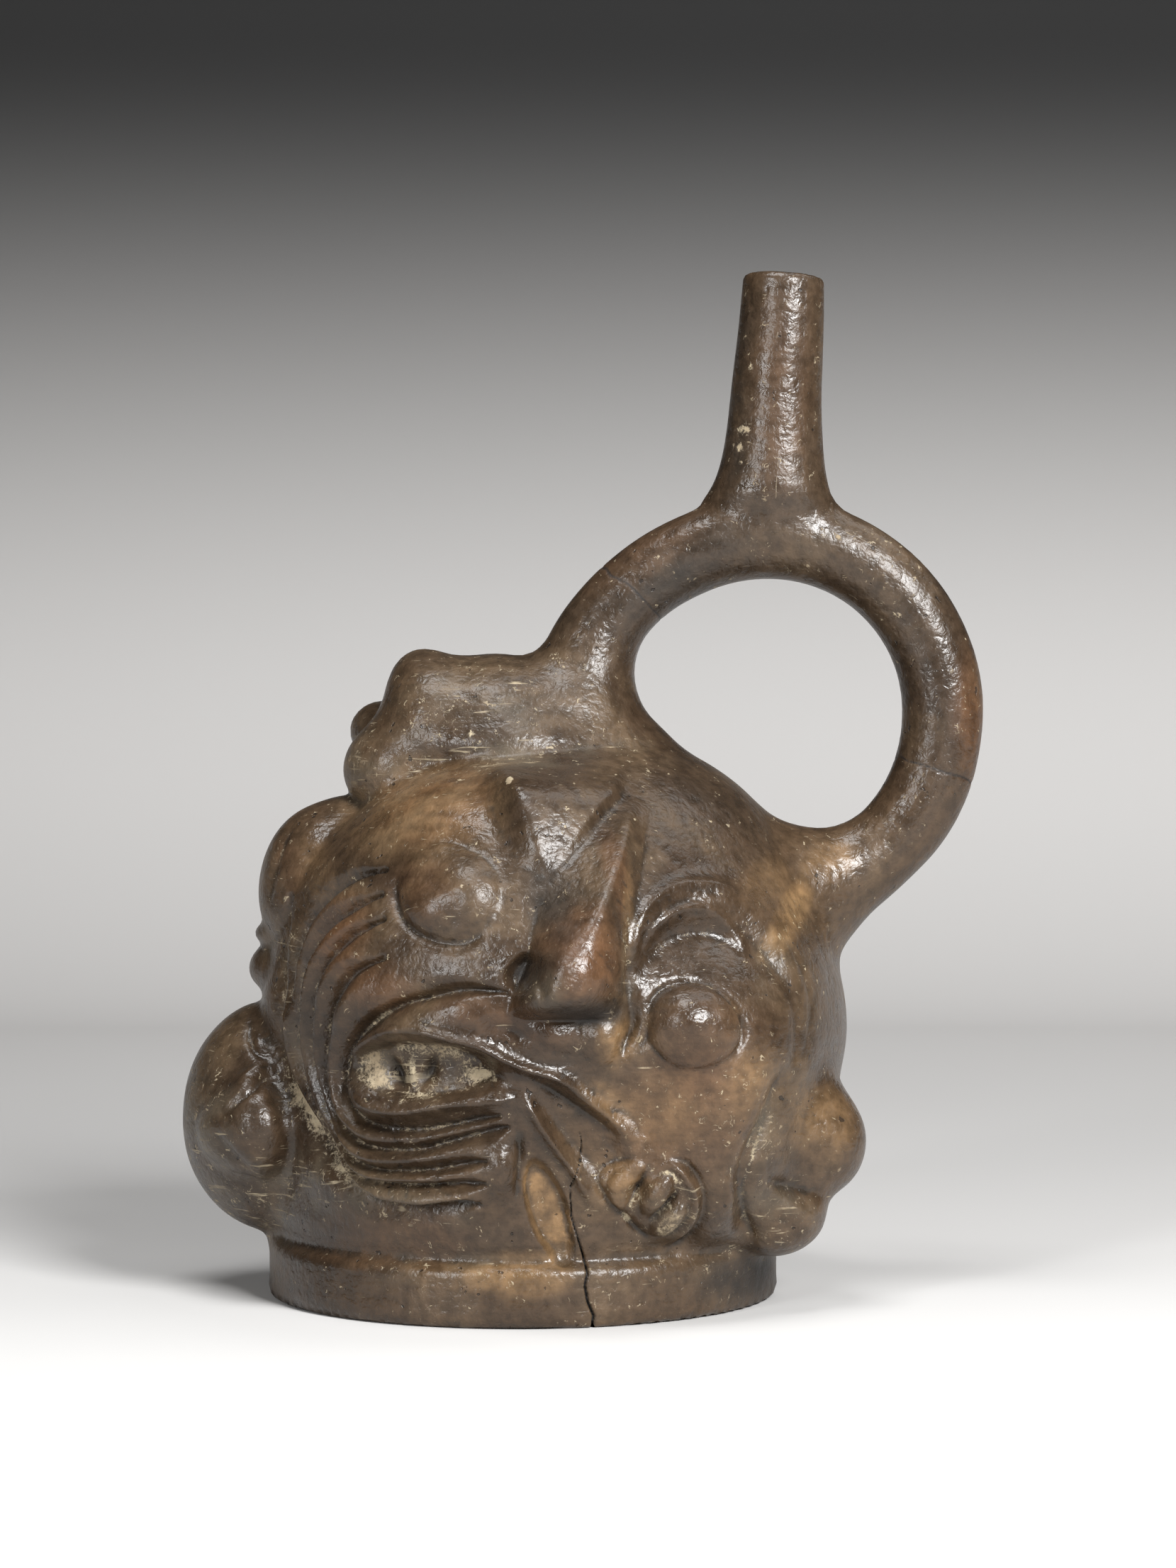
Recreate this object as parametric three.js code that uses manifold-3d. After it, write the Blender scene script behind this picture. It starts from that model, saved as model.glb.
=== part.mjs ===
// Stirrup spout vessel: a burnished dark clay bottle on a low ring foot. Its hollow chamber is a lumpy
// tuber with a fantastic, warped face, two blank ball eyes and a whorl of wrinkles, and one tubular
// stirrup with an upright spout stands on it. It is a single fired piece, open only at the spout.
// Millimetres, +Z up. The face looks along -Y. The origin is on the table, under the middle.
import * as THREE from 'three';
import { mergeVertices } from 'three/addons/utils/BufferGeometryUtils.js';
import Module from 'manifold-3d';

// Driving dimensions
const CHAMBER_HEIGHT = 158; // table to the flat top of the cap
const WALL = 6.5; // fired clay wall of the chamber and its lobes
const DEEPEST_CUT = 0.65; // share of the wall that the carving may cut into
const FOOT_RADIUS = 62.5;
const FOOT_HEIGHT = 14;
const FOOT_WIDTH = 11; // width of the ring that touches the table
const FOOT_RECESS = 8; // hollow under the floor, inside the ring
const FOOT_EDGE = 2; // worn rounding of the ring's edges
const FOOT_CREASE = 2.4; // depth of the crease between the ring and the bowl
const BOWL_HEIGHT = 17; // plain bowl that shows under the face
const BOWL_RADIUS = 61.5;
const BOWL_RISE = 0.3; // share of its height at which the bowl is nearly as wide as it gets
const STIRRUP_RADIUS = 43.4; // centre line of the tube
const STIRRUP_TUBE_RADIUS = 9.9;
const STIRRUP_BORE_RADIUS = 6;
const SPOUT_HEIGHT = 64.5; // rim above the stirrup's centre line
const SPOUT_RIM_RADIUS = 9.9;
const SPOUT_BASE_RADIUS = 12.6;
const SPOUT_BORE_RADIUS = 6.4;
const SPOUT_FLARE = 3.6; // how much the spout's base widens along the stirrup
const SPOUT_LIP_WEAR = 0.5;
const SPOUT_LEAN = THREE.MathUtils.degToRad(3.6);
const LEFT_FOOT_TURN = THREE.MathUtils.degToRad(200); // where the stirrup's tube ends, in the chamber
const RIGHT_FOOT_TURN = THREE.MathUtils.degToRad(-98);
const BORE_OVERRUN = THREE.MathUtils.degToRad(7); // the bore runs on into the chamber
const FLARE_TURN = THREE.MathUtils.degToRad(55); // the tube widens over this last part of each foot
const FLARE = 8;
const LEFT_FOOT_SPREAD = 2.5; // the left foot leans this much out of the circle
const SPREAD_TURN = THREE.MathUtils.degToRad(85); // over this last part of the tube

// The chamber is a free form: every place and radius below is drawn for a chamber of this height and
// scales with CHAMBER_HEIGHT.
const DRAWN_HEIGHT = 158;
const SCALE = CHAMBER_HEIGHT / DRAWN_HEIGHT;
const FOOT_CENTRE_X = -16;
const MIDDLE_SHIFT_X = 1.2; // moves the vessel from its drawing's axis to the middle of its own box
const MIDDLE_SHIFT_Y = 5;
const HEART = new THREE.Vector3(-12, 0, 68); // every part of the chamber's body is in sight from here
const STIRRUP_CENTRE_X = 44.2;
const STIRRUP_CENTRE_Z = 142;

// The carving is laid out on a drawing of the front: points [across, up] on the plane y = 0, seen
// by a viewer straight in front at this distance and eye height.
const VIEW_DISTANCE = 840;
const EYE_HEIGHT = 124.7;
const CARVED_TO_Y = -2; // the carving fades out round the sides, behind this depth
const CARVING_FADE = 16;

const { smoothstep, lerp, clamp } = THREE.MathUtils;

// Forms of the chamber's body: centre x, y, z, then radii x, y, z, then how softly each joins the rest.
const BODY = [
  { name: 'belly', at: [-11, 3, 66], radii: [69, 66, 56], blend: 1 },
  { name: 'face', at: [-13, -12, 76], radii: [63, 57, 57], blend: 12 },
  { name: 'jaw', at: [-24, -14, 47], radii: [50, 52, 31], blend: 8 },
  { name: 'left chin', at: [-31, -33, 34], radii: [32, 33, 17], blend: 8 },
  { name: 'right chin', at: [14, -28, 34], radii: [34, 35, 20], blend: 10 },
  { name: 'right side', at: [20, 2, 66], radii: [42, 56, 40], blend: 14 },
  { name: 'crown', at: [9, 4, 95], radii: [41, 46, 40], blend: 14 },
  { name: 'cheek', at: [26, -30, 60], radii: [26, 35, 42], blend: 10 },
  { name: 'back lobe', at: [-18, 46, 92], radii: [30, 24, 30], blend: 12 },
  { name: 'low back lobe', at: [24, 44, 50], radii: [28, 22, 26], blend: 12 },
];

// Lobes that swell out of the body, each group with a clean crease round it.
const CAP = [
  { name: 'cap', at: [-23, 3, 137], radii: [24, 26, 20], blend: 1 },
  { name: 'cap left', at: [-39, 1, 139], radii: [12.5, 22, 18], blend: 6 },
  { name: 'cap right', at: [-5, 1, 135], radii: [17, 20, 19], blend: 8 },
  { name: 'cap tip', at: [-46.5, -4, 128.5], radii: [13.5, 17, 12.5], blend: 6 },
  { name: 'cap front', at: [-20, -9, 134], radii: [26, 17, 8.5], blend: 4 },
  { name: 'cap back', at: [-51, 14, 138], radii: [8.6, 12, 7.6], blend: 2 },
];
const UPPER_LEFT = [
  { name: 'upper left lobe', at: [-64, -3, 98], radii: [16.6, 21, 22], blend: 1 },
  { name: 'upper left crest', at: [-57, -1, 110], radii: [11, 15, 12], blend: 5 },
  { name: 'middle left lobe', at: [-71, 2, 79.5], radii: [12.5, 18, 8.5], blend: 2 },
];
const LEFT = [
  { name: 'left lobe', at: [-75, 0, 43], radii: [25, 27, 29], blend: 1 },
  { name: 'left bud', at: [-79.6, -18, 42.6], radii: [11.6, 18, 13.2], blend: 2 },
];
const RIGHT = [
  { name: 'right ball', at: [54.3, -25, 40.3], radii: [13, 15, 13], blend: 1 },
  { name: 'low right ball', at: [44.5, -33, 21.7], radii: [11.4, 13, 10.4], blend: 3 },
  { name: 'right flank', at: [44, -8, 36], radii: [17, 22, 20], blend: 4 },
];
const LOBE_GROUPS = [
  { forms: CAP, heart: [-28, 2, 134], rings: 16, meridians: 24 },
  { forms: UPPER_LEFT, heart: [-66, -1, 92], rings: 12, meridians: 16 },
  { forms: LEFT, heart: [-78, -8, 43], rings: 16, meridians: 20 },
  { forms: RIGHT, heart: [48, -22, 33], rings: 16, meridians: 22 },
];

// Mounds that the stirrup's two feet rise from.
const MOUNDS = [
  { name: 'left mound', at: [3, 0, 132], radii: [15, 15, 11], blend: 10 },
  { name: 'right mound', at: [53, 0, 97], radii: [13, 14, 13], blend: 10 },
];

// The whorl of wrinkles: its innermost and outermost furrows, drawn from the top round the left side
// to the bottom. The furrows between them are worked out by shares of the way from one to the other.
const WHORL_INNER = [[-20, 74], [-36, 73], [-47, 70], [-56, 64.5], [-61.5, 57], [-61.8, 48], [-57, 41.5],
  [-47, 39.6], [-34, 40], [-20, 42]];
const WHORL_OUTER = [[-48, 103.8], [-59, 101.8], [-68, 95], [-75.5, 83], [-78, 69], [-77, 55], [-70.5, 40],
  [-60, 25.5], [-47, 19.8], [-31, 20.2]];
const WHORL_SHARES = [0, 0.4, 0.62, 0.81, 1];
const WHORL_DEPTH = 2.8;
const WHORL_CROWDING = 0.7; // how much further in the furrows lie along the bottom

// Strokes: ridges stand up (height over 0) and furrows cut in (height under 0).
const STROKES = [
  {
    name: 'upper lid',
    width: 2.2,
    height: 2.6,
    points: [[-60, 51.5], [-56.4, 58.8], [-46, 63.8], [-33, 62.8], [-19.7, 57.9], [-5, 51.8], [0, 47]],
  },
  {
    name: 'lower lid',
    width: 2,
    height: 2.2,
    points: [[-58.5, 48.5], [-53.5, 44.4], [-46, 43.7], [-34, 45.5], [-24, 46.8], [-16, 47.8]],
  },
  {
    name: 'gutter left bank',
    width: 1.6,
    height: 1.7,
    points: [[-15.5, 48], [-10, 38.6], [-5, 31], [0, 23.5], [2, 18]],
  },
  {
    name: 'gutter right bank',
    width: 2.2,
    height: 1.7,
    points: [[-10, 50.4], [0, 44.6], [8, 38], [15, 34]],
  },
  {
    name: 'whorl fold',
    width: 3.6,
    height: 2.2,
    points: [[-21.5, 36], [-21.5, 29], [-22, 22]],
  },
  {
    name: 'fold crease',
    width: 1.1,
    height: -1.5,
    points: [[-17.6, 40], [-17, 31], [-17.6, 21]],
  },
  {
    name: 'socket outer rim',
    width: 1.7,
    height: 1.8,
    points: [[10.6, 82], [11.6, 88], [14.4, 93.4], [18.4, 97.6], [23.6, 99.8], [31, 99.4]],
  },
  {
    name: 'socket edge',
    width: 1.3,
    height: -1.1,
    points: [[13.4, 84], [16.4, 89], [21, 92.6], [27, 94.4], [34, 92.8], [41, 87.4], [47.4, 77], [50.2, 66],
      [49.6, 54], [43.5, 43]],
  },
  {
    name: 'valley by the nose',
    width: 2,
    height: -2.6,
    points: [[12, 82], [11.4, 72], [10.4, 64], [6.4, 56]],
  },
  {
    name: 'left eye rim',
    width: 1.4,
    height: -1.3,
    points: [[-47.4, 103], [-47, 96], [-44, 90], [-38, 86.4], [-30, 86], [-22, 90.6]],
  },
  {
    name: 'right eye rim',
    width: 1.1,
    height: -1.2,
    points: [[10, 58.6], [13.2, 62], [15.4, 70], [20, 75], [26.5, 76.4], [33, 73.4], [37, 67],
      [37, 60.6], [33, 56], [27, 54.6], [20, 56.2], [13, 59.4]],
  },
  {
    name: 'nostril rim',
    width: 1,
    height: 1.3,
    points: [[-21, 75.6], [-19.6, 80], [-15.6, 85]],
  },
  {
    name: 'small face rim',
    width: 1.3,
    height: -1.6,
    points: [[1.2, 28], [5, 20.4], [11, 14.8], [18, 12], [24.6, 14.6], [28.4, 20], [27.4, 26.6],
      [23, 31.4], [16, 33.4]],
  },
  {
    name: 'small face bar crease',
    width: 1.3,
    height: -2,
    points: [[14.4, 32], [12.6, 26.6], [9.2, 19.6]],
  },
  {
    name: 'small face inner crease',
    width: 1.1,
    height: -1.9,
    points: [[20.6, 28], [21.8, 24.4], [18, 20.4], [13.6, 17]],
  },
  {
    name: 'small face lip',
    width: 1.2,
    height: 1.2,
    points: [[20, 30.6], [25, 27], [26.6, 21], [22.4, 15.2]],
  },
  {
    name: 'ball crease',
    width: 1.8,
    height: -2.4,
    points: [[53, 52.6], [47.6, 45], [43.4, 35], [41, 28], [40, 13]],
  },
];

// Domes and hollows: ellipses [across, up], their half sizes, turn in degrees and height. A small
// edge makes the side steep.
const PATCHES = [
  { name: 'left eye', at: [-35, 98], half: [13.5, 12.5], turn: -12, height: 3.6, edge: 1 },
  { name: 'right eye', at: [26.2, 65.2], half: [11.8, 10.8], turn: -8, height: 5.2, edge: 1 },
  { name: 'socket bowl', at: [30.6, 72], half: [20.6, 22.5], turn: 0, height: -3.6, edge: 0.4 },
  { name: 'small eye hollow', at: [-41.5, 54], half: [18.6, 6.8], turn: -2, height: -3.4, edge: 0.3 },
  { name: 'small eye corner', at: [-21, 52.4], half: [8, 2.8], turn: -12, height: -1.8, edge: 0.5 },
  { name: 'long hollow', at: [-9.2, 19.4], half: [4.7, 12], turn: 18, height: -2.8, edge: 0.35 },
  { name: 'gutter', at: [0, 36.4], half: [5.8, 16.5], turn: 42, height: -2.6, edge: 0.8 },
  { name: 'small face tongue', at: [7.6, 26.4], half: [4.7, 7.4], turn: -14, height: 2.3, edge: 0.8 },
  { name: 'small face finger', at: [17, 23.4], half: [3.1, 5], turn: -38, height: 1.5, edge: 1 },
  { name: 'small face lobe', at: [19.2, 17.4], half: [5.6, 2.8], turn: 30, height: 1.7, edge: 1 },
  { name: 'upper lip', at: [3.4, 61], half: [6.4, 8], turn: -12, height: 2.8, edge: 1 },
  { name: 'below the nostril', at: [-9, 61], half: [7, 6], turn: 0, height: 1.2, edge: 1 },
  { name: 'nostril wing', at: [-14.6, 74.2], half: [3.8, 3.6], turn: 0, height: 2.6, edge: 1 },
  { name: 'nostril', at: [-15.6, 79.2], half: [3.8, 4.2], turn: 0, height: -3.4, edge: 0.8 },
  { name: 'bump by the ball', at: [34, 21], half: [5.6, 10], turn: 4, height: 2.2, edge: 1 },
  { name: 'forehead', at: [-36, 117], half: [20, 13], turn: 6, height: 1.6, edge: 1 },
];

// The nose: a wedge whose ridge runs from its root down to the tip. Its left side runs out softly,
// its right side falls to the valley beside it.
const NOSE_ROOT = [9.4, 117];
const NOSE_TIP = [-5, 78];
const NOSE_ROOT_HEIGHT = 1.5;
const NOSE_TIP_HEIGHT = 12.5;
const NOSE_ROOT_REACH = [16, 4]; // how far each side spreads, left then right, at the root
const NOSE_TIP_REACH = [16, 14]; // and at the tip
const NOSE_ROUNDING = 1.2;
const NOSE_UNDERCUT = 7; // how far below its tip the nose ends

// How finely the surfaces are faceted
const BODY_RINGS = 46;
const BODY_MERIDIANS = 56;
const RING_GATHER = 0.52; // 1 spaces the rings evenly
const RING_GATHER_POWER = 4;
const MERIDIAN_GATHER = 0.42; // 0 spaces the meridians evenly
const MIN_SQUARENESS = 0.6;
const CAVITY_RINGS = 14;
const CAVITY_MERIDIANS = 20;
const TUBE_SIDES = 16;
const STIRRUP_STEPS = 34;
const SPOUT_STEPS = 10;
const BORE_SIDES = 8;
const BORE_STEPS = 24;
const SPOUT_BORE_STEPS = 4;
const FOOT_SIDES = 48;

const CLAY = { color: 0x5a4433, roughness: 0.42, metalness: 0 };

const WHORL_EYE = new THREE.Vector3(-41, -62, 59);

function softMinimum(a, b, blend) {
  const share = clamp(0.5 + (0.5 * (b - a)) / blend, 0, 1);
  return lerp(b, a, share) - blend * share * (1 - share);
}

// Distance to one ellipsoid, near enough.
function distanceToForm(form, x, y, z) {
  const [rx, ry, rz] = form.radii;
  const dx = x - form.at[0];
  const dy = y - form.at[1];
  const dz = z - form.at[2];
  const near = Math.hypot(dx / rx, dy / ry, dz / rz);
  const slope = Math.hypot(dx / rx ** 2, dy / ry ** 2, dz / rz ** 2);
  return (near * (near - 1)) / Math.max(slope, 1e-3);
}

// Distance to softly joined forms, before they are carved: negative inside.
function distanceToForms(x, y, z, forms) {
  let distance = distanceToForm(forms[0], x, y, z);
  for (const form of forms.slice(1)) {
    distance = softMinimum(distance, distanceToForm(form, x, y, z), form.blend);
  }
  return distance;
}

function splinePoints(points, perSpan = 4) {
  const curve = new THREE.SplineCurve(points.map(([u, v]) => new THREE.Vector2(u, v)));
  return curve.getPoints((points.length - 1) * perSpan);
}

function distanceToLine(line, u, v) {
  let nearest = Infinity;
  for (let i = 1; i < line.length; i += 1) {
    const a = line[i - 1];
    const b = line[i];
    const du = b.x - a.x;
    const dv = b.y - a.y;
    const share = clamp(((u - a.x) * du + (v - a.y) * dv) / (du * du + dv * dv), 0, 1);
    nearest = Math.min(nearest, Math.hypot(u - a.x - share * du, v - a.y - share * dv));
  }
  return nearest;
}

function whorlStrokes() {
  return WHORL_SHARES.map((share) => {
    const points = WHORL_INNER.map(([u, v], i) => {
      const along = i / (WHORL_INNER.length - 1);
      const inward = share ** (1 + WHORL_CROWDING * smoothstep(along, 0.45, 0.9));
      return [lerp(u, WHORL_OUTER[i][0], inward), lerp(v, WHORL_OUTER[i][1], inward)];
    });
    return { name: 'whorl', points, width: 1.6, height: -WHORL_DEPTH };
  });
}

const LEFT_EYE = PATCHES[0];
const STROKE_LINES = [...STROKES, ...whorlStrokes()].map((stroke) => ({
  ...stroke,
  line: splinePoints(stroke.points),
}));

// Ellipse measure: 0 in the middle of a patch, 1 on its outline.
function patchMeasure(patch, u, v) {
  const turn = THREE.MathUtils.degToRad(patch.turn);
  const du = u - patch.at[0];
  const dv = v - patch.at[1];
  const along = du * Math.cos(turn) + dv * Math.sin(turn);
  const across = dv * Math.cos(turn) - du * Math.sin(turn);
  return Math.hypot(along / patch.half[0], across / patch.half[1]);
}

function patchHeight(patch, u, v) {
  const measure = patchMeasure(patch, u, v);
  if (patch.edge < 1) {
    return patch.height * (1 - smoothstep(measure, 1 - patch.edge / 2, 1 + patch.edge / 2));
  }
  return measure < 1 ? patch.height * (1 - measure * measure) ** 0.75 : 0;
}

function noseHeight(u, v) {
  const du = NOSE_TIP[0] - NOSE_ROOT[0];
  const dv = NOSE_TIP[1] - NOSE_ROOT[1];
  const length = Math.hypot(du, dv);
  const down = ((u - NOSE_ROOT[0]) * du + (v - NOSE_ROOT[1]) * dv) / length;
  const left = ((u - NOSE_ROOT[0]) * dv - (v - NOSE_ROOT[1]) * du) / length;
  const share = clamp(down / length, 0, 1);
  const side = left > 0 ? 0 : 1;
  const reach = lerp(NOSE_ROOT_REACH[side], NOSE_TIP_REACH[side], share);
  const aside = Math.min((Math.hypot(left, NOSE_ROUNDING) - NOSE_ROUNDING) / reach, 1);
  const top = lerp(NOSE_ROOT_HEIGHT, NOSE_TIP_HEIGHT, share);
  const beyond = clamp((down - length) / NOSE_UNDERCUT, 0, 1);
  const section = lerp((1 - aside) ** 1.5, (1 - aside ** 2) ** 1.2, share ** 2);
  return top * section * (1 - beyond ** 2) * smoothstep(down, -6, 3);
}

// How far the carving stands out of the plain chamber at a point of the front.
function carving(x, y, z) {
  const nearness = VIEW_DISTANCE / (VIEW_DISTANCE + y);
  const u = x * nearness;
  const v = EYE_HEIGHT + (z - EYE_HEIGHT) * nearness;
  const shown = 1 - smoothstep(y, CARVED_TO_Y - CARVING_FADE, CARVED_TO_Y + CARVING_FADE);
  if (shown <= 0) return 0;
  const offEye = smoothstep(patchMeasure(LEFT_EYE, u, v), 0.9, 1.1);
  let height = noseHeight(u, v);
  for (const patch of PATCHES) height += patchHeight(patch, u, v);
  for (const stroke of STROKE_LINES) {
    const off = distanceToLine(stroke.line, u, v) / stroke.width;
    if (off > 3) continue;
    const cut = stroke.height * Math.exp(-(off ** 1.6));
    height += stroke.name === 'whorl' ? cut * offEye : cut;
  }
  return Math.max(height, (-DEEPEST_CUT * WALL) / SCALE) * shown;
}

// Distance from the heart to the surface along a direction, found by stepping out and halving.
function reach(heart, direction, surface) {
  const step = 3;
  const at = (distance) => surface(
    heart.x + direction.x * distance,
    heart.y + direction.y * distance,
    heart.z + direction.z * distance,
  );
  let near = 0;
  let far = step;
  while (at(far) < 0 && far < DRAWN_HEIGHT) {
    near = far;
    far += step;
  }
  for (let i = 0; i < 14; i += 1) {
    const middle = (near + far) / 2;
    if (at(middle) < 0) near = middle;
    else far = middle;
  }
  return (near + far) / 2;
}

// How squarely a direction meets the surface: 1 along its normal.
function squareness(direction, x, y, z, surface) {
  const gap = 0.5;
  const normal = new THREE.Vector3(
    surface(x + gap, y, z) - surface(x - gap, y, z),
    surface(x, y + gap, z) - surface(x, y - gap, z),
    surface(x, y, z + gap) - surface(x, y, z - gap),
  ).normalize();
  return Math.max(normal.dot(direction), MIN_SQUARENESS);
}

// A closed skin, seen whole from its heart. A carved skin's rings are closest round the small eye in
// the whorl and its meridians are gathered on the nose's side.
function skin({ heart, rings, meridians, surface, carved }) {
  const geometry = new THREE.SphereGeometry(1, meridians, rings);
  geometry.deleteAttribute('normal');
  geometry.deleteAttribute('uv');
  const merged = mergeVertices(geometry, 1e-5);
  const position = merged.getAttribute('position');
  const pole = WHORL_EYE.clone().sub(heart).normalize();
  const turn = new THREE.Quaternion().setFromUnitVectors(new THREE.Vector3(0, 1, 0), pole);
  const direction = new THREE.Vector3();
  for (let i = 0; i < position.count; i += 1) {
    direction.fromBufferAttribute(position, i).normalize();
    if (carved) {
      const share = Math.acos(clamp(direction.y, -1, 1)) / Math.PI;
      const polar = Math.PI * lerp(share ** RING_GATHER_POWER, share, RING_GATHER);
      const around = Math.atan2(direction.z, direction.x);
      const spread = around + MERIDIAN_GATHER * Math.sin(around);
      direction.setFromSphericalCoords(1, polar, Math.PI / 2 - spread);
    }
    direction.applyQuaternion(turn);
    const plain = reach(heart, direction, surface);
    const at = direction.clone().multiplyScalar(plain).add(heart);
    if (carved) {
      const raised = carving(at.x, at.y, at.z) / squareness(direction, at.x, at.y, at.z, surface);
      at.addScaledVector(direction, raised);
    }
    at.multiplyScalar(SCALE);
    position.setXYZ(i, at.x, at.y, at.z);
  }
  return merged;
}

// A closed tube of changing section: place(share) gives the centre, two unit directions across it
// and the radius along each of them.
function sweep(sides, steps, place) {
  const geometry = new THREE.CylinderGeometry(1, 1, 1, sides, steps);
  geometry.deleteAttribute('normal');
  geometry.deleteAttribute('uv');
  const merged = mergeVertices(geometry, 1e-5);
  const position = merged.getAttribute('position');
  const point = new THREE.Vector3();
  for (let i = 0; i < position.count; i += 1) {
    point.fromBufferAttribute(position, i);
    const section = place(point.y + 0.5);
    const moved = section.centre.clone()
      .addScaledVector(section.across, point.x * section.acrossRadius)
      .addScaledVector(section.side, point.z * section.sideRadius);
    position.setXYZ(i, moved.x, moved.y, moved.z);
  }
  return merged;
}

const STIRRUP_CENTRE = new THREE.Vector3(STIRRUP_CENTRE_X * SCALE, 0, STIRRUP_CENTRE_Z * SCALE);
const SIDEWAYS = new THREE.Vector3(0, -1, 0);

// The stirrup's tube runs in the plane y = 0 from its right foot over the top to its left foot.
function stirrupTube(sides, steps, radius, flare, overrun) {
  return sweep(sides, steps, (share) => {
    const turn = lerp(RIGHT_FOOT_TURN - overrun, LEFT_FOOT_TURN + overrun, share);
    const across = new THREE.Vector3(Math.cos(turn), 0, Math.sin(turn));
    const toFoot = Math.min(turn - RIGHT_FOOT_TURN, LEFT_FOOT_TURN - turn);
    const wide = radius + flare * (1 - smoothstep(toFoot, 0, FLARE_TURN));
    const spread = 1 - smoothstep(LEFT_FOOT_TURN - turn, SPREAD_TURN / 2, SPREAD_TURN);
    return {
      centre: STIRRUP_CENTRE.clone().addScaledVector(across, STIRRUP_RADIUS + LEFT_FOOT_SPREAD * spread),
      across,
      side: SIDEWAYS,
      acrossRadius: wide,
      sideRadius: wide,
    };
  });
}

// The spout stands on the stirrup's crown and leans a little to the right.
function spoutTube(sides, steps, height, acrossRadius, sideRadius) {
  const axis = new THREE.Vector3(Math.sin(SPOUT_LEAN), 0, Math.cos(SPOUT_LEAN));
  const across = new THREE.Vector3(Math.cos(SPOUT_LEAN), 0, -Math.sin(SPOUT_LEAN));
  const crown = STIRRUP_CENTRE.clone().add(new THREE.Vector3(0, 0, STIRRUP_RADIUS));
  return sweep(sides, steps, (share) => {
    const along = height * share;
    return {
      centre: crown.clone().addScaledVector(axis, along),
      across,
      side: SIDEWAYS,
      acrossRadius: acrossRadius(along),
      sideRadius: sideRadius(along),
    };
  });
}

// Radius of the spout at a height above the stirrup's centre line: a cone with a worn lip, which
// widens along the stirrup to meet it.
function spoutCone(along) {
  const lipWear = SPOUT_LIP_WEAR * smoothstep(along, SPOUT_HEIGHT - 3, SPOUT_HEIGHT);
  const share = clamp((along - STIRRUP_TUBE_RADIUS) / (SPOUT_HEIGHT - STIRRUP_TUBE_RADIUS), 0, 1);
  return lerp(SPOUT_BASE_RADIUS, SPOUT_RIM_RADIUS, share ** 0.8) - lipWear;
}

function spoutAcross(along) {
  return spoutCone(along) + SPOUT_FLARE * Math.exp(-Math.max(along - STIRRUP_TUBE_RADIUS + 1, 0) / 6.5);
}

function spoutDeep(along) {
  return lerp(STIRRUP_TUBE_RADIUS, spoutCone(along), smoothstep(along, 0, SPOUT_BASE_RADIUS));
}

// The ring foot, with the start of the bowl that swells out above its crease.
function footRing() {
  const inner = FOOT_RADIUS - FOOT_WIDTH;
  const waist = FOOT_RADIUS - FOOT_CREASE;
  const profile = [
    new THREE.Vector2(0, FOOT_RECESS),
    new THREE.Vector2(inner - FOOT_EDGE, FOOT_RECESS),
    new THREE.Vector2(inner, FOOT_RECESS - FOOT_EDGE),
    new THREE.Vector2(inner, 0),
    new THREE.Vector2(FOOT_RADIUS - FOOT_EDGE, 0),
    new THREE.Vector2(FOOT_RADIUS, FOOT_EDGE),
    new THREE.Vector2(FOOT_RADIUS - 0.4, FOOT_HEIGHT - FOOT_EDGE),
    new THREE.Vector2(waist, FOOT_HEIGHT),
    new THREE.Vector2(BOWL_RADIUS - 0.4, FOOT_HEIGHT + BOWL_RISE * BOWL_HEIGHT),
    new THREE.Vector2(BOWL_RADIUS, FOOT_HEIGHT + 2 * BOWL_RISE * BOWL_HEIGHT),
    new THREE.Vector2(BOWL_RADIUS - FOOT_EDGE, FOOT_HEIGHT + BOWL_HEIGHT),
    new THREE.Vector2(BOWL_RADIUS - FOOT_WIDTH, FOOT_HEIGHT + 1.5 * BOWL_HEIGHT),
    new THREE.Vector2(0, FOOT_HEIGHT + 1.5 * BOWL_HEIGHT),
  ];
  const geometry = new THREE.LatheGeometry(profile, FOOT_SIDES);
  geometry.rotateX(Math.PI / 2);
  geometry.translate(FOOT_CENTRE_X * SCALE, 0, 0);
  return geometry;
}

const wasm = await Module();
wasm.setup();

function toSolid(source) {
  const bare = source.clone();
  bare.deleteAttribute('normal');
  bare.deleteAttribute('uv');
  const geometry = mergeVertices(bare, 1e-4);
  return new wasm.Manifold(new wasm.Mesh({
    numProp: 3,
    vertProperties: new Float32Array(geometry.getAttribute('position').array),
    triVerts: new Uint32Array(geometry.index.array),
  }));
}

function toGeometry(solid) {
  const mesh = solid.getMesh();
  const geometry = new THREE.BufferGeometry();
  geometry.setAttribute('position', new THREE.BufferAttribute(new Float32Array(mesh.vertProperties), 3));
  geometry.setIndex(new THREE.BufferAttribute(new Uint32Array(mesh.triVerts), 1));
  geometry.computeVertexNormals();
  return geometry;
}

function joinedForms(forms, inset = 0) {
  return (x, y, z) => distanceToForms(x, y, z, forms) + inset / SCALE;
}

function outsideSolid() {
  let solid = toSolid(skin({
    heart: HEART,
    rings: BODY_RINGS,
    meridians: BODY_MERIDIANS,
    surface: joinedForms([...BODY, ...MOUNDS]),
    carved: true,
  }));
  for (const { forms, heart, rings, meridians } of LOBE_GROUPS) {
    const middle = new THREE.Vector3(...heart);
    solid = solid.add(toSolid(skin({ heart: middle, rings, meridians, surface: joinedForms(forms) })));
  }
  return solid
    .add(toSolid(footRing()))
    .add(toSolid(stirrupTube(TUBE_SIDES, STIRRUP_STEPS, STIRRUP_TUBE_RADIUS, FLARE, 0)))
    .add(toSolid(spoutTube(TUBE_SIDES, SPOUT_STEPS, SPOUT_HEIGHT, spoutAcross, spoutDeep)));
}

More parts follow.
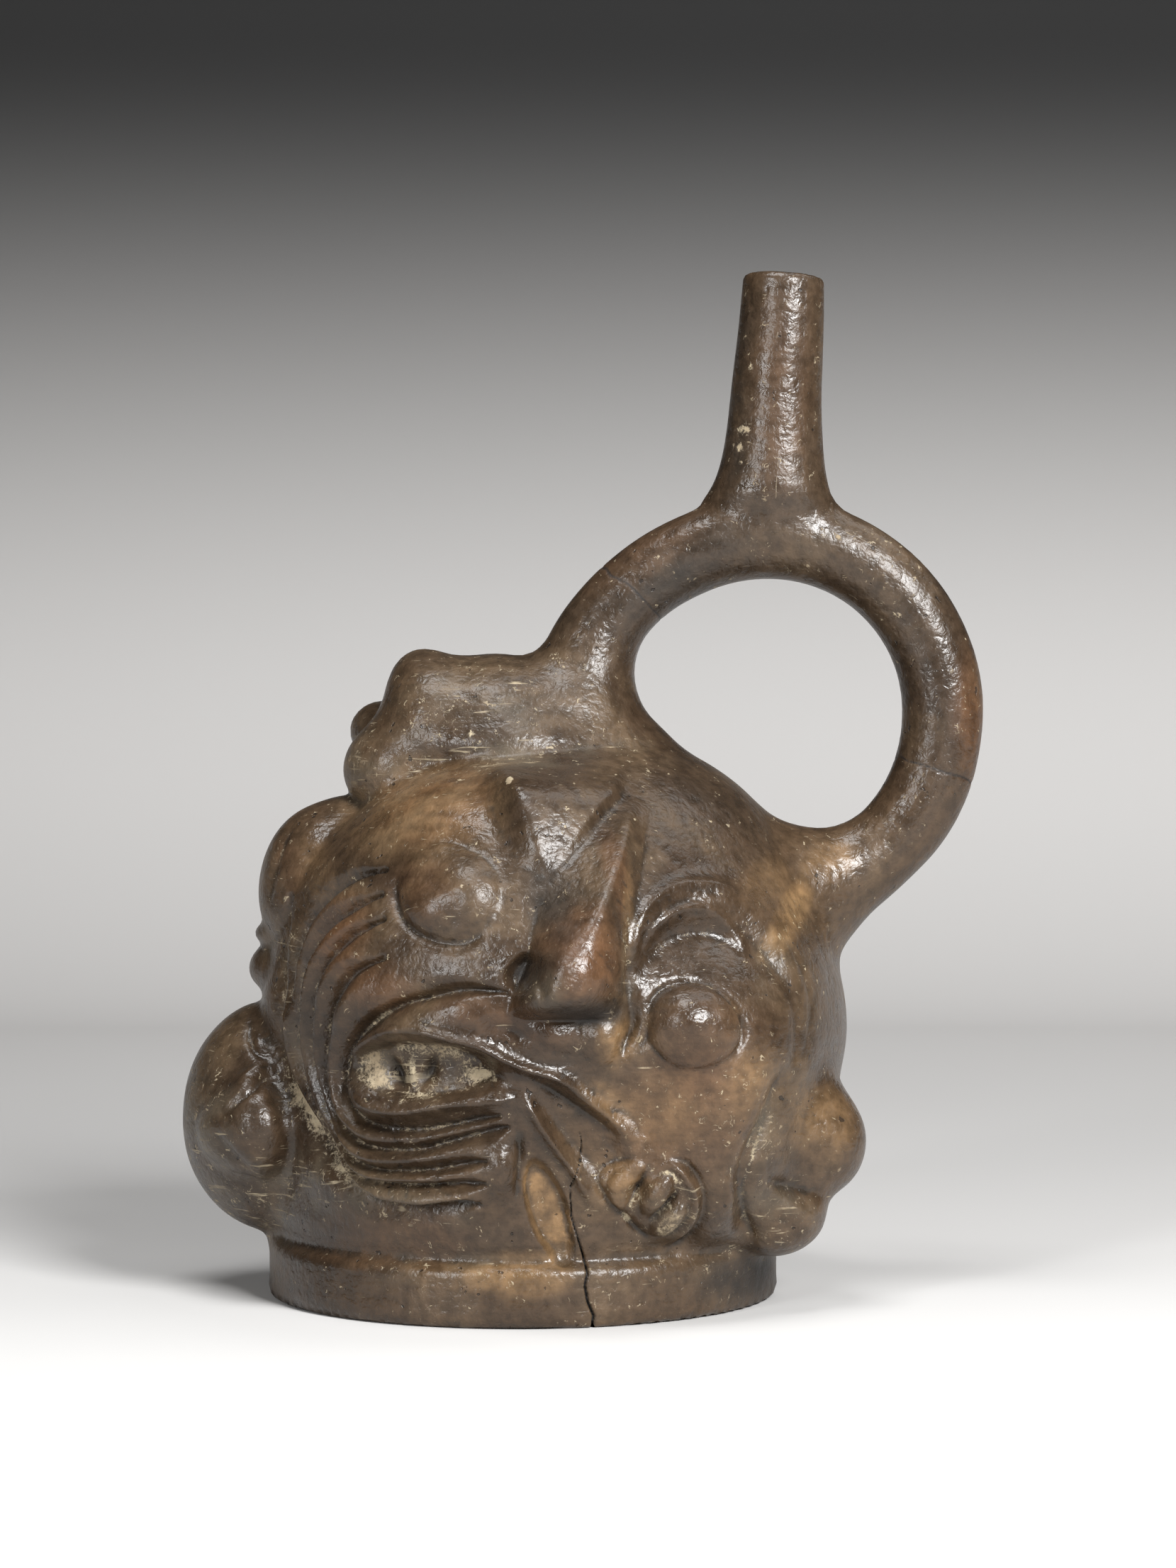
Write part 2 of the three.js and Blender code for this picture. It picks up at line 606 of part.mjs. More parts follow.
function insideSolid() {
  const bore = () => SPOUT_BORE_RADIUS;
  const rings = CAVITY_RINGS;
  const meridians = CAVITY_MERIDIANS;
  let solid = toSolid(skin({ heart: HEART, rings, meridians, surface: joinedForms(BODY, WALL) }));
  for (const { forms, heart } of LOBE_GROUPS) {
    solid = solid.add(toSolid(skin({
      heart: new THREE.Vector3(...heart),
      rings: rings / 2,
      meridians: meridians / 2,
      surface: joinedForms(forms, WALL),
    })));
  }
  return solid
    .add(toSolid(stirrupTube(BORE_SIDES, BORE_STEPS, STIRRUP_BORE_RADIUS, 0, BORE_OVERRUN)))
    .add(toSolid(spoutTube(BORE_SIDES, SPOUT_BORE_STEPS, SPOUT_HEIGHT + SPOUT_BORE_RADIUS, bore, bore)));
}

function vesselGeometry() {
  return toGeometry(outsideSolid().subtract(insideSolid()));
}

const vessel = new THREE.Mesh(vesselGeometry(), new THREE.MeshStandardMaterial(CLAY));
vessel.name = 'vessel';
vessel.geometry.translate(MIDDLE_SHIFT_X * SCALE, MIDDLE_SHIFT_Y * SCALE, 0);

const group = new THREE.Group();
group.add(vessel);
export default group;
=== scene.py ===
import math

import bpy
import numpy as np
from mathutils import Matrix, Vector


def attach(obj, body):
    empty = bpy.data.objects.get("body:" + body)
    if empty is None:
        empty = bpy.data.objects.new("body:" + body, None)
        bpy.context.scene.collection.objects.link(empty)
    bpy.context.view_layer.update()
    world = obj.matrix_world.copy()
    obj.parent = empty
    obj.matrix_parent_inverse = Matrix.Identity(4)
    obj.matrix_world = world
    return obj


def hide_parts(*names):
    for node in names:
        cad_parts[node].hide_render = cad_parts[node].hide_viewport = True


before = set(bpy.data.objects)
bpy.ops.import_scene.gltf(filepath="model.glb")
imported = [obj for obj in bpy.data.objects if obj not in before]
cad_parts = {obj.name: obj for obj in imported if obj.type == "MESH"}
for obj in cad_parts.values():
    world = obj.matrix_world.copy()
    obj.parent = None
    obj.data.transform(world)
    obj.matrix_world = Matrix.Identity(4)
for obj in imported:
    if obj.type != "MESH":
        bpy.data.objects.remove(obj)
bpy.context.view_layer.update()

# The vessel is drawn in millimetres about its drawing's axis, as its solid is, with the face towards
# -Y. These two moves bring it to the frame.
MIDDLE_SHIFT = np.array([1.2, 5.0, 0.0])
MM = 0.001

# Sizes of the ring foot, the stirrup and the spout
FOOT_CENTRE_X = -16
FOOT_RADIUS = 62.5
FOOT_HEIGHT = 14
FOOT_WIDTH = 11
FOOT_RECESS = 8
FOOT_EDGE = 2
BOWL_RADIUS = 61.5
BOWL_MIDDLE = 27
BOWL_HALF_HEIGHT = 14
BOWL_EDGE = 9
STIRRUP_CENTRE = (44.2, 142)
STIRRUP_RADIUS = 43.4
STIRRUP_TUBE_RADIUS = 9.9
LEFT_FOOT_TURN = 200
RIGHT_FOOT_TURN = -98
FLARE_TURN = 55
FLARE = 7
LEFT_FOOT_SPREAD = 2.5
LEFT_SPREAD_TURNS = (115, 160)
SPOUT_HEIGHT = 64.5
SPOUT_RIM_RADIUS = 9.9
SPOUT_BASE_RADIUS = 12.6
SPOUT_FLARE = 3.6
SPOUT_BORE_RADIUS = 6.4
SPOUT_BORE_DEPTH = 50
SPOUT_LEAN = math.radians(3.6)
SPOUT_FLARE_FADE = 6.5
LIP_ROUNDING = 1.6

# Ellipsoids of the chamber: centre, radii and how softly each joins the ones before it.
BODY = [
    ((-11, 3, 66), (69, 66, 56), 1),
    ((-13, -12, 76), (63, 57, 57), 12),
    ((-24, -14, 47), (50, 52, 31), 8),
    ((-31, -33, 34), (32, 33, 17), 8),
    ((14, -28, 34), (34, 35, 20), 10),
    ((20, 2, 66), (42, 56, 40), 14),
    ((9, 4, 95), (41, 46, 40), 14),
    ((26, -30, 60), (26, 35, 42), 10),
    ((-18, 46, 92), (30, 24, 30), 12),
    ((24, 44, 50), (28, 22, 26), 12),
    ((3, 0, 132), (15, 15, 11), 10),
    ((53, 0, 97), (13, 14, 13), 10),
]
CAP = [
    ((-23, 3, 137), (24, 26, 20), 1),
    ((-39, 1, 139), (12.5, 22, 18), 6),
    ((-5, 1, 135), (17, 20, 19), 8),
    ((-46.5, -4, 128.5), (13.5, 17, 12.5), 6),
    ((-20, -9, 134), (26, 17, 8.5), 4),
    ((-51, 14, 138), (8.6, 12, 7.6), 2),
    ((-41, 2, 149), (7.6, 13, 8.8), 3),
]
UPPER_LEFT = [
    ((-64, -3, 98), (16.6, 21, 22), 1),
    ((-57, -1, 110), (11, 15, 12), 5),
    ((-71, 2, 79.5), (12.5, 18, 8.5), 2),
    ((-76, 0, 88), (6, 10, 3.5), 2),
]
LEFT = [((-75, 0, 43), (25, 27, 29), 1)]
BUD = [
    ((-78.6, -20, 42.4), (11.4, 15.6, 13), 1),
    ((-86, -18.4, 41.4), (8, 9.4, 7.4), 6),
]
RIGHT = [
    ((53.4, -25, 39.6), (13, 15, 14), 1),
    ((44, -8, 37), (17, 22, 19), 5),
]
LOW_RIGHT = [((44, -31, 22.8), (12.4, 14, 10), 1)]
CAP_JOIN = 3.5
LOBE_JOIN = 2
RIGHT_JOIN = 9
LOW_JOIN = 6
BOWL_JOIN = 4
FOOT_JOIN = 4.5
STIRRUP_JOIN = 6
SPOUT_JOIN = 3

# The carving is drawn as the camera sees it: points [across, up] on the plane y = 0.
EYE_DISTANCE = 840
EYE_HEIGHT = 124.7
LENS = 78.2
CARVED_TO_Y = 0
CARVING_FADE = 16

# Furrows of the whorl. Between them the wrinkles stand up as plump cords.
WHORL = [
    [(-50, 103.6), (-58, 102.2), (-66.3, 97.4), (-71.8, 90.4), (-75.8, 79), (-76.8, 67)],
    [(-73.4, 97), (-77.8, 82), (-78.8, 65), (-76.8, 53), (-71.6, 40.7), (-63.4, 27.4), (-54.4, 20.2),
     (-44.2, 18.2), (-34.8, 19.2), (-27, 20.6)],
    [(-51.1, 97.5), (-59.3, 94.3), (-65.7, 90.4), (-71.2, 83), (-74, 73), (-74.4, 60), (-72, 47),
     (-66.5, 35), (-60, 27.4), (-53, 25), (-44.2, 24.5), (-34.8, 24.8), (-25.4, 26)],
    [(-50.6, 91.4), (-59.3, 87.3), (-66.2, 80.6), (-69.8, 72), (-71, 62), (-70.3, 52), (-67.6, 42),
     (-63, 34), (-56, 29.9), (-46.5, 29.2), (-37, 29.8), (-25.6, 31.6)],
    [(-50.6, 81.8), (-58.4, 78.4), (-63.4, 72), (-66.2, 64), (-67.4, 53), (-65.4, 43), (-60, 37),
     (-54.4, 35), (-42.6, 34.8), (-34.8, 36.4), (-26, 38.2), (-19.9, 39.8)],
    [(-20, 73.3), (-30, 74), (-38.9, 72.2), (-48.2, 69.5), (-56.4, 64), (-61.8, 56), (-61.6, 47),
     (-56.4, 41.2), (-46, 39.4), (-34, 40.4), (-22, 42.6)],
]
WHORL_WIDTH = 1.0
WHORL_DEPTH = -2.6
WHORL_BANK_WIDTH = 2.5
WHORL_BANK_DEPTH = -2.2
WHORL_PALE = 0.6
WHORL_FADES = (24, 9)

# Other furrows and ridges: points, width, height (furrows are under 0), share of pale deposit they hold.
STROKES = [
    ([(-52, 76.4), (-59.6, 71.4), (-63.4, 62)], 2.4, 1.4, 0),
    ([(-56, 84.4), (-64, 78.8), (-68.4, 69)], 2.2, 1.2, 0),
    ([(-55, 91.4), (-63.4, 86), (-69.6, 76)], 2.0, 0.9, 0),
    ([(-50, 32.2), (-40, 32.4), (-30, 34)], 1.4, 1.1, 0),
    ([(-48, 27), (-38, 27.4), (-28, 29)], 1.3, 1.1, 0),
    ([(-48, 21.6), (-38, 22), (-29, 23.4)], 1.5, 1.2, 0),
    ([(-59.4, 54), (-56.2, 60), (-50, 63.6), (-42.6, 64.4), (-34.8, 62.5), (-26.2, 60), (-19.9, 56.7),
      (-13.7, 54.2), (-7.4, 52.2), (-1.4, 48.6)], 1.5, 2.6, 0),
    ([(-58.8, 49), (-55.4, 45.6), (-46.5, 43.7), (-34.8, 45.5), (-23, 46.7),
      (-16.8, 47.2)], 1.6, 2.4, 0),
    ([(-24, 44.6), (-34.8, 42.9), (-46.5, 41.4), (-55, 43)], 1.3, -0.8, 0.1),
    ([(-16.4, 48.4), (-12, 41), (-7.4, 34.6), (-3.5, 29.2), (1.2, 21)], 1.3, 2.2, 0),
    ([(-14.4, 52), (-9.8, 49.4), (-4.3, 45.8), (2.6, 41.4), (8, 36.8)], 1.2, -1.4, 0.1),
    ([(-6, 50.6), (0.4, 46.4), (7, 41.4), (13, 35.6)], 1.8, 1.5, 0),
    ([(-27, 66.6), (-18, 63.2), (-8, 58.6), (0, 54)], 1.6, -0.8, 0.2),
    ([(-33, 52.4), (-25, 52.2), (-18, 50.8)], 2.2, -1.8, 0.5),
    ([(-21.6, 37), (-21.6, 29), (-22, 22)], 3.2, 2.2, 0),
    ([(-17.2, 41), (-16.6, 31), (-17.6, 20)], 1.1, -2.0, 0.5),
    ([(10.8, 79), (11.2, 84), (12.4, 90.4), (16, 96), (22.5, 99.4), (31, 99.6),
      (39, 96)], 2.0, 1.5, 0),
    ([(13, 82), (14.4, 87.4), (18.4, 92.6), (24.2, 95.8), (31, 96)], 0.9, -0.9, 0.3),
    ([(13.8, 84), (17, 89.6), (22, 93.2), (27.6, 94.2), (33, 93), (38.4, 89),
      (43.4, 82.4)], 1.5, 1.6, 0),
    ([(43, 88), (48, 80), (51.4, 70), (52, 60), (50, 52)], 1.4, -1.2, 0.1),
    ([(46.4, 91), (51, 83), (54.4, 73), (54.6, 63), (52.4, 54)], 0.8, -0.4, 0.35),
    ([(9.6, 95), (9, 86), (9.8, 78), (10.8, 70), (10.4, 63), (7, 56.6)], 1.7, -1.6, 0.25),
    ([(12, 72), (11.6, 65), (9, 60), (6, 56)], 1.6, -1.4, 0),
    ([(-47.4, 103), (-47.6, 97), (-45.4, 91), (-40, 86.8), (-32, 85.4), (-24, 88.6)], 1.3, -1.3, 0.3),
    ([(10.6, 57.6), (13.8, 61), (15, 66), (16.2, 71.4), (20, 75), (24.6, 76), (30, 74.8), (34.6, 70.8),
      (37.8, 65.4), (38, 61.6), (35.6, 57.4)], 0.9, -1.3, 0.4),
    ([(14, 59.4), (18, 56.6), (24, 54.4), (30, 54.6)], 1.4, 0.9, 0),
    ([(-21, 76.4), (-20, 79.6), (-15.6, 84)], 0.9, 2.2, 0.8),
    ([(-17, 76), (-13.6, 74.8), (-12.6, 71)], 1.0, 1.6, 0.6),
    ([(-13.6, 79), (-11.6, 73.6), (-11.2, 69)], 1.1, -2.2, 0),
    ([(1, 29), (3.6, 23.4), (7.6, 19), (11.6, 15), (16, 12)], 0.9, -1.7, 0.5),
    ([(20, 33.4), (25, 30.4), (28.4, 25), (28.8, 19.6), (27, 14.6), (22.6, 11),
      (17.4, 10.2)], 1.3, -1.5, 0.1),
    ([(15.6, 31.6), (13, 26.6), (10.6, 22), (8.4, 18.6)], 1.0, -2.6, 0.1),
    ([(22.8, 26), (20.8, 21.8), (17.6, 18.6), (14, 16.4)], 1.0, -2.8, -0.6),
    ([(17, 31.2), (21.6, 30.2), (24.8, 26.6), (26.4, 21.6), (25.4, 17), (22, 13.8),
      (17, 12.8)], 1.1, 1.5, 0),
    ([(50, 56), (47.6, 49), (44.6, 42), (41, 35), (38.6, 28), (38.6, 19), (40.6, 9)], 2.8, -2.4, 0.2),
    ([(46, 44), (44, 38), (41.4, 31), (39.6, 24), (40, 16), (41.4, 10)], 0.7, -0.6, 0.45),
    ([(42, 28.4), (47, 26), (53, 24.8), (59, 22.4)], 1.8, -1.4, 0.2),
    ([(43.4, 24), (49, 21.6), (55, 18)], 2.0, 1.0, 0.1),
    ([(44, 19), (49, 16), (54, 13)], 1.4, -0.9, 0.4),
    ([(33.6, 29), (35, 23), (35.6, 16)], 2.2, 1.2, 0),
    ([(-51.2, 58.8), (-49.4, 53.4), (-46.4, 48)], 1.9, -4, -1),
    ([(-38.2, 58.2), (-40.6, 53.6), (-43.4, 49.4)], 1.8, -4, -1),
    ([(-44.8, 58.6), (-44.6, 50)], 0.9, 0.9, 0.6),
    ([(-71.6, 117), (-75.2, 110), (-77.8, 101), (-79.2, 93)], 0.8, -0.9, 0.4),
    ([(-47.6, 110), (-40, 111.6), (-32, 110.4), (-26, 106)], 2.0, -0.6, 0.3),
    ([(-77.6, 55), (-82, 50.8), (-87.6, 46.2), (-91.8, 42)], 0.9, -1.8, 0.1),
    ([(-78, 57.6), (-83, 53.4), (-89, 48.4)], 1.4, 1.2, 0),
    ([(-92.4, 40), (-90.4, 35.4), (-86, 30.6), (-80, 26)], 1.5, -1.3, 0.3),
    ([(-77.4, 54), (-75, 47), (-72.4, 40), (-69, 33)], 1.2, -1.1, 0.5),
    ([(-83, 68), (-83.4, 62), (-81.8, 58.4), (-79.2, 56.6)], 0.8, -1.5, 0.5),
]

# Domes: middle, half sizes, turn in degrees, height and softness of the edge (under 1 is steep).
DOMES = [
    ((-34.4, 98), (12.8, 11.8), -8, 2.6, 0.9),
    ((-29, 98.6), (8.4, 9.6), 20, 1.6, 1.3),
    ((-39.4, 93.6), (7.6, 7), 0, 1.6, 1.3),
    ((26.2, 65.4), (11.8, 11), -8, 5, 0.62),
    ((24, 67), (7, 6), -8, 0.8, 1.5),
    ((-54.6, 51.8), (5, 4.6), 0, 1.6, 1.5),
    ((4, 62), (6.6, 8), -16, 2.8, 1.6),
    ((-9, 61.4), (9, 7), 0, 1.6, 1.8),
    ((8.6, 28), (6.6, 4), 12, 1.8, 0.8),
    ((7.8, 24), (3.4, 6), -8, 1.6, 0.8),
    ((17, 23.6), (6, 3), 54, 2.6, 0.7),
    ((19.8, 17.4), (5.6, 2.6), 38, 2.6, 0.7),
    ((-36, 117), (22, 15), 6, 1.8, 2),
    ((6, 38), (9, 20), 44, 1.0, 2),
    ((-38, 67), (20, 8), -4, 1.6, 1.5),
]

# Hollows: middle, half sizes, turn, height, softness of the edge, pale deposit and ochre they hold.
HOLLOWS = [
    ((30, 72), (19.5, 21.4), 0, -6, 0.34, 0, 0),
    ((-41.5, 54), (18.2, 6.8), -2, -3.0, 0.35, 0.5, 0),
    ((-9.6, 19), (4.6, 12.6), 18, -2.6, 0.4, 0.3, 1),
    ((0, 36.4), (5.4, 16), 42, -2.4, 0.9, 0, 0.1),
    ((-16, 78), (3.8, 4.6), -30, -3.6, 0.7, 0, 0),
]
# The first hollow is the right eye's socket, which fades out downwards between these heights.
SOCKET = 0
SOCKET_FADE = (64, 97)
DEEPEST_CUT = -7.5

# The nose. The triples hold for its root, nearly halfway down and its tip.
NOSE_ROOT = (9.6, 116)
NOSE_TIP = (-5, 78)
NOSE_BEND = 1.6
NOSE_TOPS = (2.4, 7.4, 13.4)
NOSE_LEFT_REACH = (10, 17, 9)
NOSE_RIGHT_REACH = (5, 7, 13.5)
NOSE_ROUNDING = (0.6, 0.8, 1.8)
NOSE_BOTTOM = (66.5, 73.5)
NOSE_LIFT = 0.01
NOSE_HOLLOWING = 1.9
NOSE_START = 8

# The plane beside the nose's root: at each of four heights, how far left and right it reaches
FACET_UPS = (101, 112, 121, 130)
FACET_LEFTS = (-9.5, -14, -17.6, -21)
FACET_RIGHTS = (-9, -0.6, 7, 10)
FACET_SLOPE = 0.22
FACET_LEAN = 0.16
FACET_TOP = (115, 131)
FACET_BACK = 5

# Where the clay's colour strays from dark brown, as the camera sees it: middle, half sizes, turn, share.
ZONES = {
    "rust": [
        ((-37, 119), (17, 11), 8, 0.8), ((-62, 88), (9, 13), -30, 0.7), ((-52, 75), (12, 8), -20, 0.5),
        ((-3, 82), (11, 14), 18, 0.9), ((6, 100), (4, 14), 12, 0.5), ((-20, 66), (20, 7), -14, 0.5),
        ((-74, 104), (5, 9), 0, 0.4), ((94, 140), (5, 22), 4, 0.8), ((14, 183), (22, 9), 34, 0.4),
        ((48, 222), (9, 34), -3, 0.5), ((22, 42), (26, 18), 20, 0.4), ((-48, 12), (24, 10), 0, 0.4),
        ((30, 60), (18, 16), 0, 0.3), ((-40, 98), (11, 11), 0, 0.3),
    ],
    "ochre": [
        ((-17, 3.5), (15, 7), 0, 1), ((-34, 4), (14, 5), 0, 0.4), ((7, 62), (6, 9), -10, 0.7),
        ((20, 44), (19, 11), 10, 0.3), ((40, 50), (9, 10), 0, 0.5), ((50, 92), (4.5, 12), -24, 1),
        ((60, 106), (9, 6), 30, 0.6), ((58, 41), (9, 11), 0, 0.5), ((8, 26), (8, 8), 0, 0.4),
        ((9, 90), (2.6, 16), 0, 0.5), ((-30, 129), (16, 4), 8, 0.2), ((4, 46), (9, 5), -40, 0.5),
        ((44, 100), (7, 9), -30, 0.3), ((-40, 118), (24, 16), 8, 0.5), ((-68, 104), (6, 10), 0, 0.2),
    ],
    "soot_and_shade": [
        # Painted shade, not soot: (-8, 94) and (-12, 78) on the nose's left side and nostril, (0, 68.4)
        # under the nose, (32, 84) in the socket under its ridge, (38, 3) on the ring in the low right
        # lobe's shadow, and (37, 215) on the spout's unlit left side.
        ((-28, 138), (34, 9), 4, 0.3), ((-72, 98), (8, 18), 20, 0.4), ((-92, 44), (10, 24), 0, 0.3),
        ((-40, 36), (28, 12), 0, 0.3), ((-8, 94), (9, 15), 20, 0.9), ((-12, 78), (8, 6), 0, 0.7),
        ((38, 3), (16, 9), 0, 1), ((47, 26), (11, 7), -10, 0.6), ((56, 68), (6, 22), 0, 0.3),
        ((30, 118), (22, 12), -30, 0.5), ((-45, 14), (32, 10), -6, 0.5), ((32, 84), (15, 8), 0, 0.3),
        ((0, 68.4), (14, 4.4), 0, 1.3), ((2, 40), (8, 14), 40, 0.3), ((20, 176), (26, 9), 24, 0.5),
        ((20, 14), (30, 5), 0, 0.2), ((37, 215), (3, 32), -3, 0.6), ((6, 160), (5, 12), -40, 0.3),
    ],
    "dark": [
        # All painted shade: under the nose, in the nostril, in the small eye's two slits and the tiny
        # face's slits, on the ring in the low right lobe's shadow, and on the nose's left side.
        ((-1, 68.2), (12, 3.6), 0, 0.55), ((-16.5, 78.5), (3, 4.4), 30, 0.5),
        ((-49, 53.6), (6.4, 2.4), -65, 0.5), ((-41, 53.8), (5.4, 2.2), 59, 0.5),
        ((12, 24.6), (7, 1.3), 62, 0.35), ((19.4, 20.6), (6.4, 1.3), 48, 0.5),
        ((40, 3), (14, 10), 0, 0.5),
        ((-9, 89), (6, 12), 22, 0.3),
    ],
    "pale": [
        ((-54, 53), (5, 7), 0, 0.3), ((-46, 46.6), (14, 2.2), 0, 0.4), ((-40, 60), (14, 3), -6, 0.3),
        ((19.8, 17.2), (6, 3), 38, 0.8), ((12.4, 21.4), (8, 2), 60, 0.6), ((8, 27), (8, 5), 0, 0.2),
        ((20, 28), (5, 2.4), -30, 0.5), ((-14, 70), (6, 4), 0, 0.25),
        ((-64, 26), (8, 10), 40, 0.2), ((44, 38), (3, 10), -20, 0.2), ((8.6, 86), (2, 8), 0, 0.3),
        ((7, 61), (4, 5), 0, 0.2), ((-16, 2), (26, 3), 0, 0.12), ((-82, 20), (14, 8), 30, 0.12),
    ],
    "dust_and_painted_light": [
        # Partly painted light: the zones on the left lobe at (-96, 36) and (-80, 22) are dust that also
        # brightens the lobe's left side, as a lamp from the left would.
        ((-20, 131), (38, 5), 5, 0.7), ((-58, 132), (8, 14), 0, 0.6), ((-78, 92), (5, 22), 4, 0.5),
        ((-76, 66), (5, 20), 0, 0.4), ((-96, 36), (12, 28), 0, 0.7), ((-80, 22), (20, 12), 30, 0.8),
        ((-66, 30), (10, 16), 30, 0.4), ((44, 38), (4, 12), -20, 0.6), ((46, 18), (13, 8), 0, 0.6),
        ((-46, 54), (17, 7), 0, 1), ((22, 22), (8, 10), 0, 0.7), ((-50, 22), (26, 7), -10, 0.4),
        ((10, 84), (3.4, 16), 0, 0.6), ((48, 84), (6, 16), -20, 0.4), ((-30, 5), (40, 5), 0, 0.3),
        ((40, 132), (18, 5), -30, 0.5), ((-12, 74), (6, 5), 0, 0.5), ((-30, 142), (24, 12), 8, 0.5),
        ((-40, 118), (26, 16), 8, 0.35),
    ],
}
SPOTS = [((38.4, 212), 1.7), ((37.2, 208.6), 0.9), ((40.4, 227), 1.0), ((39.4, 205), 0.7),
         ((61, 186), 0.8), ((-29, 137), 0.9), ((-19, 121), 0.9), ((66, 155), 0.7)]

# The two mended breaks of the stirrup, as places round it in degrees
BREAKS = (138, -19)
BREAK_WIDTH = 0.42
BREAK_DEPTH = -0.16
BREAK_DARK = 0.6

# The firing crack, as the camera sees it
CRACK = [(-2, 40), (-1.3, 36), (-2, 31), (-4.5, 25), (-4, 18), (-2, 11), (-0.5, 6), (0, 4), (-0.7, 1),
         (0, -3), (1.5, -6.5), (1, -10)]
CRACK_WIDTHS = ((-10, 4, 12, 30), (0.32, 0.26, 0.17, 0.07))
CRACK_DEPTH = -1.4

# How long the rubbing's strokes are, how sharp a crease is that holds deposit and painted shade, and how
# much the stirrup and spout darken upwards
STROKE_SQUEEZE = 0.09
CREASE_BEND = (0.06, 0.3)
CREASE_PALE = 0.4
# Painted shade: how strongly creases are darkened with the soot colour.
CREASE_SHADE = 0.8
# How much darker the stirrup and spout are made towards their tops, between the heights of HANDLE_RISE.
HANDLE_DARKENING = 0.4
HANDLE_RISE = (138, 172)
SMOOTH_STEPS = 3

# Colours, as light reflected
CLAY_DARK = (0.031, 0.019, 0.011)
CLAY_MIDDLE = (0.055, 0.034, 0.019)
CLAY_LIGHT = (0.095, 0.062, 0.034)
CLAY_RUST = (0.088, 0.041, 0.018)
CLAY_OCHRE = (0.220, 0.130, 0.058)
# Soot colour. It is also laid as painted shade in creases and in unlit places such as under the nose.
CLAY_SOOT_AND_SHADE = (0.021, 0.0165, 0.0125)
# Dust colour. It is also painted light on the left lobe's left side.
DUST_AND_PAINTED_LIGHT = (0.18, 0.15, 0.105)
CREAM = (0.46, 0.385, 0.26)
CREAM_DARK = (0.26, 0.20, 0.125)
# The colour of pits. It is also painted shade in the slits, the nostril, under the nose and on the
# nose's left side.
PIT_AND_SHADE = (0.009, 0.007, 0.006)
# Paper tones with painted shade: the floor darker behind the vessel and the wall far darker upwards,
# standing in for the lamps' falloff.
PAPER_NEAR = (0.59, 0.585, 0.577)
PAPER_BEHIND_SHADED = (0.50, 0.493, 0.486)
PAPER_FAR = (0.63, 0.618, 0.607)
PAPER_HIGH_SHADED = (0.031, 0.031, 0.031)
POLISH = 0.23
SHINE = 0.42
RELIEF_DEPTH = 0.0005

# The mesh: its cell, made half as large in FINE_HEIGHTS of the front and above LIP_HEIGHT, and a
# quarter as large where the carving rises by more than STEEP in one quad. Bands round the breaks and
# the crack are made finer too, each within its reaches.
CELL = 2.2
BOX_LOW = (-103, -85, -3)
BOX_HIGH = (101, 74, 254)
FINE_HEIGHTS = (10, 140)
LIP_HEIGHT = 240
STEEP = 0.46
SMALL_FACE = ((14, 22), (17, 13), 0)
CRACK_REACHES = (4, 2.2, 1.2)
BREAK_REACHES = (3, 1.6)
PROJECT_STEPS = 4


def soft_min(a, b, blend):
    share = np.clip(0.5 + 0.5 * (b - a) / blend, 0, 1)
    return b + (a - b) * share - blend * share * (1 - share)


def soft_max(a, b, blend):
    return -soft_min(-a, -b, blend)


def smoothstep(value, low, high):
    share = np.clip((value - low) / (high - low), 0, 1)
    return share * share * (3 - 2 * share)


def mix(a, b, share):
    return a + (b - a) * share


def ellipsoid(points, middle, radii):
    offset = points - np.asarray(middle, float)
    radii = np.asarray(radii, float)
    near = np.linalg.norm(offset / radii, axis=-1)
    slope = np.linalg.norm(offset / radii ** 2, axis=-1)
    return near * (near - 1) / np.maximum(slope, 1e-3)


def joined(points, forms):
    distance = ellipsoid(points, *forms[0][:2])
    for middle, radii, blend in forms[1:]:
        distance = soft_min(distance, ellipsoid(points, middle, radii), blend)
    return distance


def foot(points):
    """The ring foot with its hollow underside, and the plain bowl that rises from it."""
    out = np.hypot(points[..., 0] - FOOT_CENTRE_X, points[..., 1])
    up = points[..., 2]

    def drum(radius, middle, half, edge):
        side = out - (radius - edge)
        end = np.abs(up - middle) - (half - edge)
        outer = np.hypot(np.maximum(side, 0), np.maximum(end, 0))
        return outer + np.minimum(np.maximum(side, end), 0) - edge

    ring = drum(FOOT_RADIUS, FOOT_HEIGHT / 2, FOOT_HEIGHT / 2, FOOT_EDGE)
    hollow = drum(FOOT_RADIUS - FOOT_WIDTH, 0, FOOT_RECESS, FOOT_EDGE)
    bowl = drum(BOWL_RADIUS, BOWL_MIDDLE, BOWL_HALF_HEIGHT, BOWL_EDGE)
    return np.maximum(ring, -hollow), bowl, hollow


def stirrup(points):
    across = points[..., 0] - STIRRUP_CENTRE[0]
    up = points[..., 2] - STIRRUP_CENTRE[1]
    turn = np.degrees(np.arctan2(up, across))
    seam = (LEFT_FOOT_TURN - 360 + RIGHT_FOOT_TURN) / 2
    turn = np.where(turn < seam, turn + 360, turn)
    turn = np.clip(turn, RIGHT_FOOT_TURN, LEFT_FOOT_TURN)
    to_foot = np.minimum(turn - RIGHT_FOOT_TURN, LEFT_FOOT_TURN - turn)
    radius = STIRRUP_TUBE_RADIUS + FLARE * (1 - smoothstep(to_foot, 0, FLARE_TURN))
    angle = np.radians(turn)
    reach = STIRRUP_RADIUS + LEFT_FOOT_SPREAD * smoothstep(turn, *LEFT_SPREAD_TURNS)
    dx = across - reach * np.cos(angle)
    dz = up - reach * np.sin(angle)
    return np.sqrt(dx ** 2 + dz ** 2 + points[..., 1] ** 2) - radius


